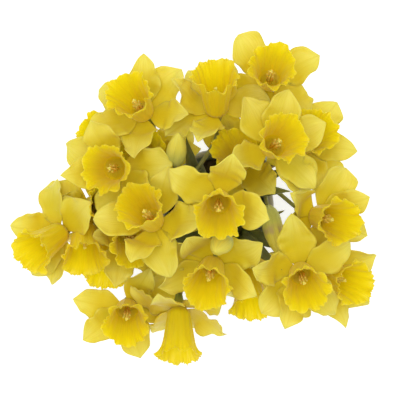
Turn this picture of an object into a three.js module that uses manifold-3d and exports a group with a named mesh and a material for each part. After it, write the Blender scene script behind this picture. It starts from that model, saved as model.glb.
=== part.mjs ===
// Potted miniature trumpet daffodils: a glazed pot, its soil, four bulbs with their shoots,
// twenty-three open blooms and three buds. Millimetres, +Z up, origin at the middle of the pot's foot.
import * as THREE from "three";
import { mergeVertices } from "three/addons/utils/BufferGeometryUtils.js";
import Module from "manifold-3d";

const wasm = await Module();
wasm.setup();
const { sin, cos, sqrt, PI, min, max, abs } = Math;
const vec = (x, y, z) => new THREE.Vector3(x, y, z);
const rad = THREE.MathUtils.degToRad;

// Pot and soil
const POT_HEIGHT = 88;
const POT_RIM_RADIUS = 48;
const POT_FOOT_RADIUS = 34;
const POT_WALL = 3.2;
const POT_FLOOR = 4;
const RIM_DEPTH = 13;
const RIM_PROUD = 3;
const RIM_LIP = 3.6;
const RIM_UNDERSIDE = 1.5;
const RIM_ROUND = 1.2;
const RIM_SHOULDER = 3;
const RIM_INSIDE = 6;
const FOOT_BEVEL = 1;
const DRAIN_RADIUS = 4;
const DRAIN_RING = 18;
const DRAIN_HOLES = 3;
const DRAIN_SIDES = 12;
const POT_SIDES = 24;
const SOIL_TOP = 74;
const SEAT_GAP = 0.3;

// Bulbs, half sunk in the soil, each with a bore in its nose for its shoot
const BULB_RADIUS = 12.5;
const BULB_HEIGHT = 34;
const BULB_TOP = 86;
const NOSE_BORE = 6;
const NOSE_BORE_DEPTH = 12;
const BULB_SIDES = 8;
const BULB_OUTLINE = [[0, 0.35], [0.1, 0.72], [0.38, 1], [0.66, 0.9], [0.86, 0.62], [1, 0.56]];
const BULBS = [
  { id: 1, x: -17, y: 14 },
  { id: 2, x: 17, y: 16 },
  { id: 3, x: 16, y: -17 },
  { id: 4, x: -18, y: -16 },
];

// Where every random draw starts
const SEED = 20417;

// Flower parts
const TUBE_LENGTH = 12;
const TUBE_FOOT_RADIUS = 2.6;
const TUBE_TOP_RADIUS = 6.6;
const TUBE_SHOULDER = 2;
const TUBE_FLARE = 0.5;
const TUBE_SIDES = 5;
const TEPAL_LENGTH = 37.5;
const TEPAL_WIDTH = 25;
const TEPAL_THICKNESS = 0.8;
const TEPAL_ROOT = 4.6;
const WHORL_BASE = -0.8;
const WHORL_STEP = 0.9;
const CORONA_LENGTH = 36;
const CORONA_FOOT_RADIUS = 8;
const CORONA_WAIST_RADIUS = 10.8;
const CORONA_WAIST_AT = 0.62;
const CORONA_MOUTH_RADIUS = 15.4;
const CORONA_WALL = 0.8;
const CORONA_SEAT = 1.3;
const CORONA_FLOOR = 1.2;
const CORONA_LOBES = 10;
const FRILL = 1.3;
const STAMENS = 5;
const STAMEN_LENGTH = 17;
const STAMEN_STEP = 3;
const STAMEN_SPREAD = 4;
const STAMEN_TIP = 3.6;
const STAMEN_GROOVE = 1.8;
const STAMEN_GROOVE_TIP = 1.1;
const STYLE_LENGTH = 22;
const OVARY_LENGTH = 8;
const OVARY_RADIUS = 3.1;
const PEDICEL_RADIUS = 1.6;
const SCAPE_RADIUS = 2.3;
const SCAPE_SIDES = 5;
const PEDICEL_SIDES = 4;
const NECK_TOP = 98;
const NECK_RADIUS = 5.7;
const STEM_RING = 3.3;
const LEAF_RING = 4.4;
const LEAF_SUNK = 5;
const FORK_DROP = 20;
const FORK_INWARD = 0.8;
const FORK_CLEARANCE = 12;
const FORK_SUNK = 2;
const STEM_LEAN = 0.25;
const STEM_RISE = 0.45;
const STEM_FALL = 0.7;
const STALK_RISE = 0.35;
const STALK_FALL = 0.4;
const LONE_STEM_RISE = 40;
const LONE_STEM_FALL = 28;
const LEAF_WIDTH = 11;
const LEAF_THICKNESS = 1;
const LEAF_LENGTH = 108;
const LEAF_RISE = 86;
const LEAF_CHANNEL = 0.25;

// How clear of its neighbours a bent piece keeps, and how far a tepal may sweep, in degrees
const MARGIN = 0.35;
const SWEEP_LIMIT = 60;

// Blooms: the place of the perianth's middle, the compass angle and lift of the trumpet, and for each
// of its six tepals the compass angle it takes seen from above and how far it sweeps forward, in degrees
const BLOOMS = [
  {
    id: "f", bulb: 3, at: [-1, 5, 223], azimuth: -95, lift: 74,
    turns: [147, 76, -12, -60, -108, 215], sweeps: [14, 56, 58, -35, -50, -48],
  },
  {
    id: "g", bulb: 4, at: [-46, -9, 210], azimuth: 124, lift: 66,
    turns: [105, 70, 0, -102, -74, 180], sweeps: [12, 35, 42, 55, -12, 15],
  },
  {
    id: "d", bulb: 2, at: [36, 42, 208], azimuth: 43, lift: 78,
    turns: [118, 76, 32, -26, -66, 205], sweeps: [18, 30, 55, 15, 42, 50],
  },
  {
    id: "t", bulb: 3, at: [57, -45, 198], azimuth: -92, lift: 75,
    turns: [226, 260, -52, 8, 100, 165], sweeps: [22, 48, 12, 15, 5, 48],
  },
  {
    id: "r", bulb: 3, at: [-5, -40, 200], azimuth: -109, lift: 66,
    turns: [151, 92, 30, -25, 250, 200], sweeps: [42, 50, 30, 50, -40, 15],
  },
  {
    id: "a", bulb: 1, at: [-54, 68, 193], azimuth: 132, lift: 70,
    turns: [48, 86, 150, 208, -90, -13], sweeps: [16, 30, 8, 20, 50, 38],
  },
  {
    id: "b", bulb: 1, at: [-2, 69, 194], azimuth: 94, lift: 52,
    turns: [121, 165, 205, 252, 14, 78], sweeps: [28, 35, 0, 18, 15, 48],
  },
  {
    id: "u", bulb: 3, at: [71, -6, 184], azimuth: -16, lift: 70,
    turns: [58, 25, -21, -80, 236, 148], sweeps: [18, 40, 28, 20, 50, 58],
  },
  {
    id: "h", bulb: 1, at: [-72, 28, 200], azimuth: -160, lift: 82,
    turns: [155, 188, 250, 320, 20, 90], sweeps: [14, 58, 10, 20, 30, 40],
  },
  {
    id: "c", bulb: 2, at: [36, 91, 184], azimuth: 95, lift: 80,
    turns: [123, 195, 250, 290, 20, 70], sweeps: [24, -40, 20, -20, 12, -40],
  },
  {
    id: "q", bulb: 4, at: [-29, -74, 180], azimuth: -89, lift: 28,
    turns: [179, 240, -66, -28, 40, 110], sweeps: [10, 20, 28, 30, 15, 20],
  },
  {
    id: "n", bulb: 4, at: [-67, -19, 170], azimuth: -45, lift: 72,
    turns: [254, -48, 0, 60, 120, 190], sweeps: [10, 15, 10, 20, 15, 20],
  },
  {
    id: "l", bulb: 4, at: [-115, -18, 175], azimuth: -142, lift: 52,
    turns: [172, 110, 50, -10, 258, 236], sweeps: [46, -30, -30, -20, 40, 48],
  },
  {
    id: "p", bulb: 4, at: [-68, -75, 160], azimuth: -75, lift: 76,
    turns: [172, 213, 268, -38, 25, 95], sweeps: [4, 20, 28, 20, 25, 40],
  },
  {
    id: "m", bulb: 4, at: [-99, -15, 166], azimuth: -80, lift: 50,
    turns: [150, 105, 60, 0, -60, -120], sweeps: [40, 20, 10, 15, -40, -35],
  },
  {
    id: "o", bulb: 4, at: [-82, -24, 142], azimuth: -95, lift: 30,
    turns: [180, 120, 60, 0, -60, -120], sweeps: [10, 15, 10, 15, -40, -35],
  },
  {
    id: "k", bulb: 1, at: [-93, 1, 162], azimuth: 8, lift: 62,
    turns: [162, 190, 240, 310, 10, 80], sweeps: [4, 10, 10, 20, 20, 25],
  },
  {
    id: "j", bulb: 1, at: [-74, 48, 158], azimuth: 160, lift: 65,
    turns: [207, 150, 90, 30, -30, -90], sweeps: [12, -30, 10, 15, 10, -10],
  },
  {
    id: "i", bulb: 1, at: [-54, 36, 154], azimuth: 90, lift: 80,
    turns: [40, -15, -70, 210, 150, 95], sweeps: [15, 20, 10, 15, 10, 15],
  },
  {
    id: "w", bulb: 2, at: [16, 34, 168], azimuth: 131, lift: 74,
    turns: [152, 112, 60, 5, -46, -105], sweeps: [20, 15, 10, 15, 10, 15],
  },
  {
    id: "e", bulb: 2, at: [62, 47, 166], azimuth: 50, lift: 74,
    turns: [50, -8, -35, -78, -160, 110], sweeps: [28, 25, 5, 40, 15, 20],
  },
  {
    id: "v", bulb: 3, at: [80, -49, 168], azimuth: -16, lift: 62,
    turns: [-35, -78, -140, 160, 90, 22], sweeps: [35, 28, 10, 15, 10, 40],
  },
  {
    id: "s", bulb: 3, at: [20, -46, 162], azimuth: -81, lift: 40,
    turns: [253, 200, 150, 90, 20, -50], sweeps: [10, 15, 10, 15, 10, 15],
  },
];

// Buds: the foot of the bud, where it points, its length and width
const BUDS = [
  { id: 1, bulb: 1, at: [-31, 31, 200], azimuth: 82, lift: 50, length: 31, width: 14 },
  { id: 2, bulb: 3, at: [4, -20, 213], azimuth: -135, lift: 66, length: 28, width: 15 },
  { id: 3, bulb: 3, at: [36, 1, 168], azimuth: -79, lift: 30, length: 42, width: 15 },
];

// What each flower stem carries, for each bulb
const UMBELS = {
  1: [["a", "j"], ["h", "i"], ["b", "bud_1"]],
  2: [["c"], ["d", "e"], ["w"]],
  3: [["t", "v"], ["r", "s"], ["u", "bud_3"], ["f", "bud_2"]],
  4: [["g", "k"], ["n", "o"], ["m", "l"], ["p", "q"]],
};

// Leaves of each bulb: compass angle and length against the usual
const LEAVES = {
  1: [[100, 1], [150, 0.95], [200, 1.05], [50, 0.8]],
  2: [[20, 1], [75, 0.95], [120, 0.85], [-25, 1.1]],
  3: [[-20, 1], [-70, 1.05], [-120, 0.9], [25, 0.8]],
  4: [[175, 1], [225, 1.05], [-90, 0.95], [-45, 0.85]],
};

// Colours read as the eye sees them
const COLOURS = {
  pot: [0x7f8a78, 0.35],
  soil: [0x3a2d24, 0.95],
  bulb: [0x8a5f38, 0.8],
  shoot: [0x4f6b35, 0.6],
  perianth: [0xe6d354, 0.65],
  corona: [0xe2b420, 0.6],
  bud: [0xc3c35e, 0.6],
};

function solid(geometry) {
  const bare = geometry.index ? geometry.toNonIndexed() : geometry.clone();
  const points = new THREE.BufferGeometry().setAttribute("position", bare.getAttribute("position"));
  const merged = mergeVertices(points, 1e-4);
  const vertProperties = new Float32Array(merged.attributes.position.array);
  const triVerts = new Uint32Array(merged.index.array);
  return new wasm.Manifold(new wasm.Mesh({ numProp: 3, vertProperties, triVerts }));
}

function geometryOf(body) {
  const mesh = body.getMesh();
  const positions = new Float32Array(mesh.numVert * 3);
  for (let i = 0; i < mesh.numVert; i += 1) {
    positions.set(mesh.vertProperties.subarray(i * mesh.numProp, i * mesh.numProp + 3), i * 3);
  }
  const geometry = new THREE.BufferGeometry();
  geometry.setAttribute("position", new THREE.BufferAttribute(positions, 3));
  geometry.setIndex(new THREE.BufferAttribute(new Uint32Array(mesh.triVerts), 1));
  return geometry;
}

// A closed surface through rings of points; a ring may be one point, or have twice its neighbour's points
function loft(rings) {
  const corners = [];
  const tri = (a, b, c) => corners.push(a, b, c);
  const join = (low, high) => {
    const [n, m] = [low.length, high.length];
    for (let i = 0; i < max(n, m); i += 1) {
      if (n === 1) tri(high[(i + 1) % m], high[i], low[0]);
      else if (m === 1) tri(low[i], low[(i + 1) % n], high[0]);
      else if (n === m) {
        const next = (i + 1) % n;
        tri(low[i], low[next], high[next]);
        tri(low[i], high[next], high[i]);
      } else if (m === 2 * n && i < n) {
        const next = (i + 1) % n;
        tri(low[i], high[2 * i + 1], high[2 * i]);
        tri(low[i], low[next], high[2 * i + 1]);
        tri(low[next], high[2 * next], high[2 * i + 1]);
      } else if (n === 2 * m && i < m) {
        const next = (i + 1) % m;
        tri(high[i], low[2 * i], low[2 * i + 1]);
        tri(high[next], high[i], low[2 * i + 1]);
        tri(high[next], low[2 * i + 1], low[2 * next]);
      }
    }
  };
  const middle = (ring) => ring.reduce((sum, p) => sum.add(p), vec(0, 0, 0)).divideScalar(ring.length);
  const closed = [...rings];
  if (rings[0].length > 1) closed.unshift([middle(rings[0])]);
  if (rings.at(-1).length > 1) closed.push([middle(rings.at(-1))]);
  for (let k = 0; k + 1 < closed.length; k += 1) join(closed[k], closed[k + 1]);
  return new THREE.BufferGeometry().setFromPoints(corners);
}

function ring(count, radius, z, phase = 0) {
  return Array.from({ length: count }, (_, i) => {
    const turn = phase + (2 * PI * i) / count;
    const r = typeof radius === "function" ? radius(i) : radius;
    const height = typeof z === "function" ? z(i) : z;
    return vec(r * cos(turn), r * sin(turn), height);
  });
}

// A lofted tube along points, with a radius at each
function tube(points, radii, sides) {
  const rings = [];
  let across = null;
  points.forEach((p, k) => {
    const ahead = points[min(k + 1, points.length - 1)];
    const behind = points[max(k - 1, 0)];
    const along = ahead.clone().sub(behind).normalize();
    if (!across) across = abs(along.z) > 0.9 ? vec(1, 0, 0) : vec(0, 0, 1);
    across.addScaledVector(along, -across.dot(along)).normalize();
    const up = along.clone().cross(across);
    rings.push(Array.from({ length: sides }, (_, i) => {
      const turn = (2 * PI * i) / sides;
      const spoke = across.clone().multiplyScalar(cos(turn)).addScaledVector(up, sin(turn));
      return p.clone().addScaledVector(spoke, radii[k]);
    }));
  });
  return loft(rings);
}

function bezier(points, steps) {
  const curve = new THREE.CubicBezierCurve3(...points);
  return curve.getPoints(steps);
}

// A row of numbers from a seed, each from 0 to 1
function draws(seed) {
  let state = seed;
  return () => {
    state = (state * 1664525 + 1013904223) % 4294967296;
    return state / 4294967296;
  };
}

const part = new THREE.Group();

// A bloom's own frame starts at the middle of its perianth and a bud's at its foot, with +Z the way it points
function headGroup({ at, azimuth, lift }) {
  const group = new THREE.Group();
  group.rotation.set(rad(90 - lift), 0, rad(azimuth + 90), "ZYX");
  group.position.set(...at);
  group.updateMatrixWorld();
  part.add(group);
  return group;
}

// A body of a group, as it lies in the whole part
function inPart(body, group) {
  return body.transform([...group.matrixWorld.elements]);
}

// A blade: a root edge of two points, rows of three across and a pointed tip, alike on both faces
function bladeGeometry(point, stations, thickness) {
  const faceAt = (lift) => stations.map((u, k) => {
    const places = k === 0 ? [-1, 1] : [-1, 0, 1];
    return (u < 1 ? places : [0]).map((v) => point(u, v, lift));
  });
  const [top, bottom] = [faceAt(thickness / 2), faceAt(-thickness / 2)];
  const corners = [];
  const sheet = (rows, flip) => {
    const put = (a, b, c) => (flip ? corners.push(a, c, b) : corners.push(a, b, c));
    rows.slice(1).forEach((high, k) => {
      const low = rows[k];
      const end = low.length - 1;
      if (high.length === 1) {
        put(low[0], low[1], high[0]);
        put(low[1], low[2], high[0]);
        return;
      }
      put(low[0], high[1], high[0]);
      put(low[end], high[2], high[1]);
      if (end === 1) put(low[0], low[1], high[1]);
      else {
        put(low[0], low[1], high[1]);
        put(low[1], low[2], high[1]);
      }
    });
  };
  sheet(top, true);
  sheet(bottom, false);
  const border = (rows) => {
    const back = rows.slice(0, -1).reverse();
    return [...rows.map((row) => row[0]), ...back.map((row) => row.at(-1))];
  };
  const [upper, lower] = [border(top), border(bottom)];
  upper.forEach((p, i) => {
    const next = (i + 1) % upper.length;
    corners.push(p, lower[i], upper[next]);
    corners.push(upper[next], lower[i], lower[next]);
  });
  return new THREE.BufferGeometry().setFromPoints(corners);
}

// One tepal: it leaves the tube flat, sweeps forward and curls back at its tip
const TEPAL_STATIONS = [0, 0.36, 0.74, 1];

function tepalSlope(shape, u) {
  const ease = min(1, max(0, (u - 0.1) / 0.3));
  return rad(shape.sweep) * ease - rad(shape.curl) * u * u;
}

function tepalWidth(u) {
  return (1 - u ** 4.4) * (0.16 + 0.84 * sin((min(1, u / 0.45) * PI) / 2));
}

function tepalPoint(shape, u, v, lift) {
  const steps = 12;
  let reach = TEPAL_ROOT;
  let height = shape.base;
  for (let i = 0; i < steps; i += 1) {
    const slope = tepalSlope(shape, (u * (i + 0.5)) / steps);
    reach += (cos(slope) * u * shape.length) / steps;
    height += (sin(slope) * u * shape.length) / steps;
  }
  const slope = tepalSlope(shape, u);
  const outward = vec(cos(rad(shape.turn)), sin(rad(shape.turn)), 0);
  const side = vec(-outward.y, outward.x, 0);
  const normal = outward.clone().multiplyScalar(-sin(slope)).add(vec(0, 0, cos(slope)));
  const lean = rad(shape.twist) * max(0, u - 0.1);
  const across = side.clone().multiplyScalar(cos(lean)).addScaledVector(normal, sin(lean));
  const face = normal.clone().multiplyScalar(cos(lean)).addScaledVector(side, -sin(lean));
  const half = (shape.width * tepalWidth(u)) / 2;
  const rise = shape.cup * v * v * half * min(1, max(0, (u - 0.1) / 0.3));
  return outward.multiplyScalar(reach).add(vec(0, 0, height))
    .addScaledVector(across, v * half).addScaledVector(face, rise + lift);
}

function tepalBody(shape, slack = 0) {
  const wide = { ...shape, width: shape.width + 2 * slack, length: shape.length + slack };
  const point = (u, v, lift) => tepalPoint(wide, u, v, lift);
  return solid(bladeGeometry(point, TEPAL_STATIONS, TEPAL_THICKNESS + 2 * slack));
}

// The floral tube under the tepals
function tubeBody() {
  const profile = [
    ring(TUBE_SIDES, TUBE_FOOT_RADIUS, -TUBE_LENGTH),
    ring(TUBE_SIDES, TUBE_TOP_RADIUS - TUBE_FLARE, -TUBE_SHOULDER),
    ring(TUBE_SIDES, TUBE_TOP_RADIUS, CORONA_SEAT - SEAT_GAP),
  ];
  return solid(loft(profile));
}

// The corona: a frilled trumpet with a closed foot, and in it the bunch of stamens and the style
function coronaBody(bloom) {
  const next = draws(SEED + bloom.index * 97);
  const phase = next() * PI;
  const lobe = (i) => (i % 2 ? -1 : 1) * (0.6 + 0.7 * next());
  const lobes = Array.from({ length: 2 * CORONA_LOBES }, (_, i) => lobe(i));
  const inner = (radius) => radius - CORONA_WALL;
  const rim = (inset) => ring(
    2 * CORONA_LOBES,
    (i) => CORONA_MOUTH_RADIUS - inset + FRILL * lobes[i],
    (i) => CORONA_LENGTH - 0.5 * FRILL * lobes[i] - 0.4 * inset,
    phase,
  );
  const waist = CORONA_WAIST_AT * CORONA_LENGTH;
  const floor = CORONA_SEAT + CORONA_FLOOR;
  const filament = (outer, gap) => (i) => (i % 2 ? gap : outer);
  const tips = filament(STAMEN_LENGTH, STAMEN_LENGTH - STAMEN_STEP);
  const profile = [
    ring(CORONA_LOBES, CORONA_FOOT_RADIUS, CORONA_SEAT, phase),
    ring(CORONA_LOBES, CORONA_WAIST_RADIUS, waist, phase),
    rim(0),
    rim(CORONA_WALL),
    ring(CORONA_LOBES, inner(CORONA_WAIST_RADIUS), waist, phase),
    ring(CORONA_LOBES, inner(CORONA_FOOT_RADIUS), floor, phase),
    ring(2 * STAMENS, filament(STAMEN_SPREAD, STAMEN_GROOVE), floor, phase),
    ring(2 * STAMENS, filament(STAMEN_TIP, STAMEN_GROOVE_TIP), tips, phase),
    [vec(0, 0, STYLE_LENGTH)],
  ];
  return solid(loft(profile));
}

// A bud: a pointed spindle with a slight rib for each outer tepal
const BUD_OUTLINE = [[0, 0.2], [0.12, 0.42], [0.42, 0.5], [0.75, 0.36], [0.92, 0.15]];
const BUD_SIDES = 9;
const BUD_RIB = [1.04, 0.97, 0.97];

function budBody(bud) {
  const { length, width } = bud;
  const radius = (r) => (i) => width * r * BUD_RIB[i % BUD_RIB.length];
  const rings = BUD_OUTLINE.map(([u, r]) => ring(BUD_SIDES, radius(r), u * length));
  rings.push([vec(0, 0, length)]);
  return solid(loft(rings));
}

// Things already in place, which the next ones keep clear of
const placed = [];

function boxesMeet(a, b) {
  return a.min.every((low, i) => low < b.max[i] && b.min[i] < a.max[i]);
}

function isClear(body, owner) {
  const box = body.boundingBox();
  return placed.every(({ name, solid: other, box: around }) => (
    name === owner || !boxesMeet(box, around) || body.intersect(other).isEmpty()
  ));
}

function place(name, body) {
  placed.push({ name, solid: body, box: body.boundingBox() });
}

// Every mix of the given offsets, the gentlest first
function trials(offsets) {
  let list = [{ cost: 0 }];
  for (const [key, { values, weight, rest = 0 }] of Object.entries(offsets)) {
    list = list.flatMap((trial) => values.map((value) => (
      { ...trial, [key]: value, cost: trial.cost + weight * abs(value - rest) }
    )));
  }
  return list.sort((a, b) => a.cost - b.cost);
}

// The largest piece of a body, without the crumbs that joining may leave
function whole(body) {
  return body.decompose().reduce((best, piece) => (piece.volume() > best.volume() ? piece : best));
}

function addMesh(parent, name, kind, body) {
  const [colour, roughness] = COLOURS[kind];
  const material = new THREE.MeshStandardMaterial({ color: colour, roughness, metalness: 0 });
  const mesh = new THREE.Mesh(geometryOf(whole(body)), material);
  mesh.name = name;
  parent.add(mesh);
}

// Pot: a hollow tapered shell with a rolled rim and drain holes round the middle of its floor
function potRadius(z) {
  return POT_FOOT_RADIUS + ((POT_RIM_RADIUS - RIM_PROUD - POT_FOOT_RADIUS) * z) / POT_HEIGHT;
}

function potBody() {
  const rimFoot = POT_HEIGHT - RIM_DEPTH;
  const inside = POT_HEIGHT - RIM_INSIDE;
  const profile = [
    [POT_FOOT_RADIUS - FOOT_BEVEL, 0],
    [POT_FOOT_RADIUS, FOOT_BEVEL],
    [potRadius(rimFoot), rimFoot],
    [POT_RIM_RADIUS - 0.8, rimFoot + RIM_UNDERSIDE],
    [POT_RIM_RADIUS, POT_HEIGHT - RIM_SHOULDER],
    [POT_RIM_RADIUS - RIM_ROUND, POT_HEIGHT],
    [POT_RIM_RADIUS - RIM_LIP, POT_HEIGHT - 0.2],
    [potRadius(inside) - POT_WALL, inside],
    [potRadius(POT_FLOOR) - POT_WALL, POT_FLOOR],
  ];
  const shell = solid(loft(profile.map(([radius, z]) => ring(POT_SIDES, radius, z))));
  const drill = (i) => {
    const turn = (2 * PI * i) / DRAIN_HOLES;
    const hole = new THREE.CylinderGeometry(DRAIN_RADIUS, DRAIN_RADIUS, 3 * POT_FLOOR, DRAIN_SIDES);
    return solid(hole.rotateX(PI / 2).translate(DRAIN_RING * cos(turn), DRAIN_RING * sin(turn), 0));
  };
  let body = shell;
  for (let i = 0; i < DRAIN_HOLES; i += 1) body = body.subtract(drill(i));
  return body;
}

// The bulb's outline, with a margin for the hollow that it lies in
function bulbOutline(margin = 0) {
  const foot = BULB_TOP - BULB_HEIGHT;
  const height = (u) => foot + BULB_HEIGHT * u + margin * (2 * u - 1);
  return BULB_OUTLINE.map(([u, r]) => ring(BULB_SIDES, BULB_RADIUS * r + margin, height(u)));
}

function bulbBody() {
  const bore = [BULB_TOP - NOSE_BORE_DEPTH, BULB_TOP + 1].map((z) => ring(BULB_SIDES, NOSE_BORE, z));
  return solid(loft(bulbOutline())).subtract(solid(loft(bore)));
}

function soilBody() {
  const heights = [POT_FLOOR + SEAT_GAP, SOIL_TOP];
  const rings = heights.map((z) => ring(POT_SIDES, potRadius(z) - POT_WALL - SEAT_GAP, z));
  let body = solid(loft(rings));
  for (const { x, y } of BULBS) body = body.subtract(solid(loft(bulbOutline(SEAT_GAP))).translate([x, y, 0]));
  return body;
}

// A leaf: a strap that rises from the neck and leans out as it goes
const LEAF_STATIONS = [0, 0.35, 0.72, 1];
const LEAF_FREE = 0.14;

function leafPoint(leaf, u, v, lift) {
  const steps = 12;
  const point = leaf.foot.clone();
  const outward = vec(cos(rad(leaf.turn)), sin(rad(leaf.turn)), 0);
  const slopeAt = (t) => rad(LEAF_RISE - leaf.lean * t ** 1.5);
  for (let i = 0; i < steps; i += 1) {
    const slope = slopeAt((u * (i + 0.5)) / steps);
    const step = (u * leaf.length) / steps;
    point.addScaledVector(outward, cos(slope) * step).add(vec(0, 0, sin(slope) * step));
  }
  const slope = slopeAt(u);
  const side = vec(-outward.y, outward.x, 0);
  const normal = outward.clone().multiplyScalar(sin(slope)).add(vec(0, 0, -cos(slope))).negate();
  const lean = rad(leaf.twist) * u;
  const across = side.clone().multiplyScalar(cos(lean)).addScaledVector(normal, sin(lean));
  const face = normal.clone().multiplyScalar(cos(lean)).addScaledVector(side, -sin(lean));
  const half = (leaf.width * (0.45 + 0.55 * sin(u * PI)) * (1 - u ** 6)) / 2;
  return point.addScaledVector(across, v * half).addScaledVector(face, LEAF_CHANNEL * v * v * half + lift);
}

function leafBody(leaf, slack = 0, from = 0) {
  const wide = { ...leaf, width: leaf.width + 2 * slack, length: leaf.length + slack };
  const point = (u, v, lift) => leafPoint(wide, u, v, lift);
  const stations = [from, ...LEAF_STATIONS.slice(1)];
  return solid(bladeGeometry(point, stations, LEAF_THICKNESS + 2 * slack));
}

const heads = {};

// Where a head joins its stalk, the way it faces there and whether an ovary lies between
function addHead(id, group, depth, swells) {
  const facing = vec(0, 0, 1).transformDirection(group.matrixWorld);
  const foot = group.localToWorld(vec(0, 0, -depth));
  heads[id] = { facing, foot, swells };
}

// The stalk's last stretch swells into the ovary, which the floral tube stands on
function stalkBody(path, radius, id, sides, slack) {
  const { facing, foot, swells } = heads[id];
  const points = [...path];
  const radii = path.map(() => radius + slack);
  if (swells && !slack) {
    for (const [u, r] of [[0.5, OVARY_RADIUS], [1, TUBE_FOOT_RADIUS]]) {
      points.push(foot.clone().addScaledVector(facing, u * OVARY_LENGTH));
      radii.push(r);
    }
  }
  return tube(points, radii, sides);
}

// One flower stem and the stalks that fork from it
function umbelBodies({ start, ids }, trial, slack) {
  const bowed = vec(trial.east, trial.north, 0);
  if (ids.length === 1) {
    const { foot, facing } = heads[ids[0]];
    const low = start.clone().add(vec(0, 0, LONE_STEM_RISE)).add(bowed);
    const high = foot.clone().addScaledVector(facing, -LONE_STEM_FALL).add(bowed);
    const path = bezier([start, low, high, foot], 6);
    return [stalkBody(path, SCAPE_RADIUS - 0.2, ids[0], SCAPE_SIDES, slack)];
  }
  const feet = ids.map((id) => heads[id].foot);
  const mean = feet.reduce((sum, p) => sum.add(p), vec(0, 0, 0)).divideScalar(feet.length);
  const drop = min(...feet.map((p) => p.z)) - FORK_DROP + trial.rise;
  const height = max(drop, NECK_TOP + FORK_CLEARANCE);
  const fork = vec(mean.x * FORK_INWARD, mean.y * FORK_INWARD, height).add(bowed);
  const away = fork.clone().sub(start).setZ(0).multiplyScalar(STEM_LEAN);
  const rise = (fork.z - start.z) * STEM_RISE;
  const low = start.clone().add(vec(0, 0, rise));
  const high = fork.clone().sub(away).add(vec(0, 0, -rise * STEM_FALL));
  const path = bezier([start, low, high, fork], 4);
  const bodies = [tube(path, path.map(() => SCAPE_RADIUS + slack), SCAPE_SIDES)];
  const heading = away.clone().add(vec(0, 0, rise)).normalize();
  ids.forEach((id, i) => {
    const { foot, facing } = heads[id];
    const gap = foot.distanceTo(fork);
    const bow = heading.clone().cross(facing).normalize().multiplyScalar((i ? 1 : -1) * trial.bow);
    const stalk = bezier([
      fork.clone().addScaledVector(heading, -FORK_SUNK),
      fork.clone().addScaledVector(heading, gap * STALK_RISE).add(bow),
      foot.clone().addScaledVector(facing, -gap * STALK_FALL).add(bow),
      foot,
    ], 3);
    bodies.push(stalkBody(stalk, PEDICEL_RADIUS, id, PEDICEL_SIDES, slack));
  });
  return bodies;
}

// The blooms' rigid parts come first
BLOOMS.forEach((bloom, index) => {
  bloom.index = index;
  bloom.group = headGroup(bloom);
  bloom.tube = tubeBody();
  bloom.corona = coronaBody(bloom);
  addHead(bloom.id, bloom.group, TUBE_LENGTH + SEAT_GAP + OVARY_LENGTH, true);
  place(`perianth_${bloom.id}`, inPart(bloom.tube, bloom.group));
  place(`corona_${bloom.id}`, inPart(bloom.corona, bloom.group));
});
for (const bud of BUDS) {
  bud.name = `bud_${bud.id}`;
  bud.group = headGroup(bud);
  bud.body = budBody(bud);
  addHead(bud.name, bud.group, SEAT_GAP, false);
  place(bud.name, inPart(bud.body, bud.group));
}

addMesh(part, "pot", "pot", potBody());
addMesh(part, "soil", "soil", soilBody());

// Shoots: the neck in the bulb's nose, the flower stems and the leaves
const shoots = {};
for (const bulb of BULBS) {
  const name = `shoot_${bulb.id}`;
  const foot = BULB_TOP - NOSE_BORE_DEPTH + SEAT_GAP;
  const fit = NOSE_BORE - SEAT_GAP;
  const neck = [[foot, fit], [BULB_TOP + 2, fit], [NECK_TOP, NECK_RADIUS]];
  let body = solid(loft(neck.map(([z, r]) => ring(BULB_SIDES, r, z)))).translate([bulb.x, bulb.y, 0]);
  UMBELS[bulb.id].forEach((ids, i, all) => {
    const turn = (2 * PI * i) / all.length + 0.6;
    const start = vec(bulb.x + STEM_RING * cos(turn), bulb.y + STEM_RING * sin(turn), NECK_TOP - 6);
    const options = trials({
      east: { values: [-18, -12, -6, 0, 6, 12, 18], weight: 1 },
      north: { values: [-18, -12, -6, 0, 6, 12, 18], weight: 1 },
      rise: { values: ids.length > 1 ? [-16, -8, 0, 8] : [0], weight: 1 },
      bow: { values: ids.length > 1 ? [-8, -4, 0, 4, 8] : [0], weight: 1.5 },
    });
    const found = options.find((trial) => (
      umbelBodies({ start, ids }, trial, MARGIN).every((piece) => isClear(solid(piece), name))
    ));
    for (const piece of umbelBodies({ start, ids }, found ?? options[0], 0)) body = body.add(solid(piece));
  });
  shoots[name] = body;
  place(name, body);
}
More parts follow.
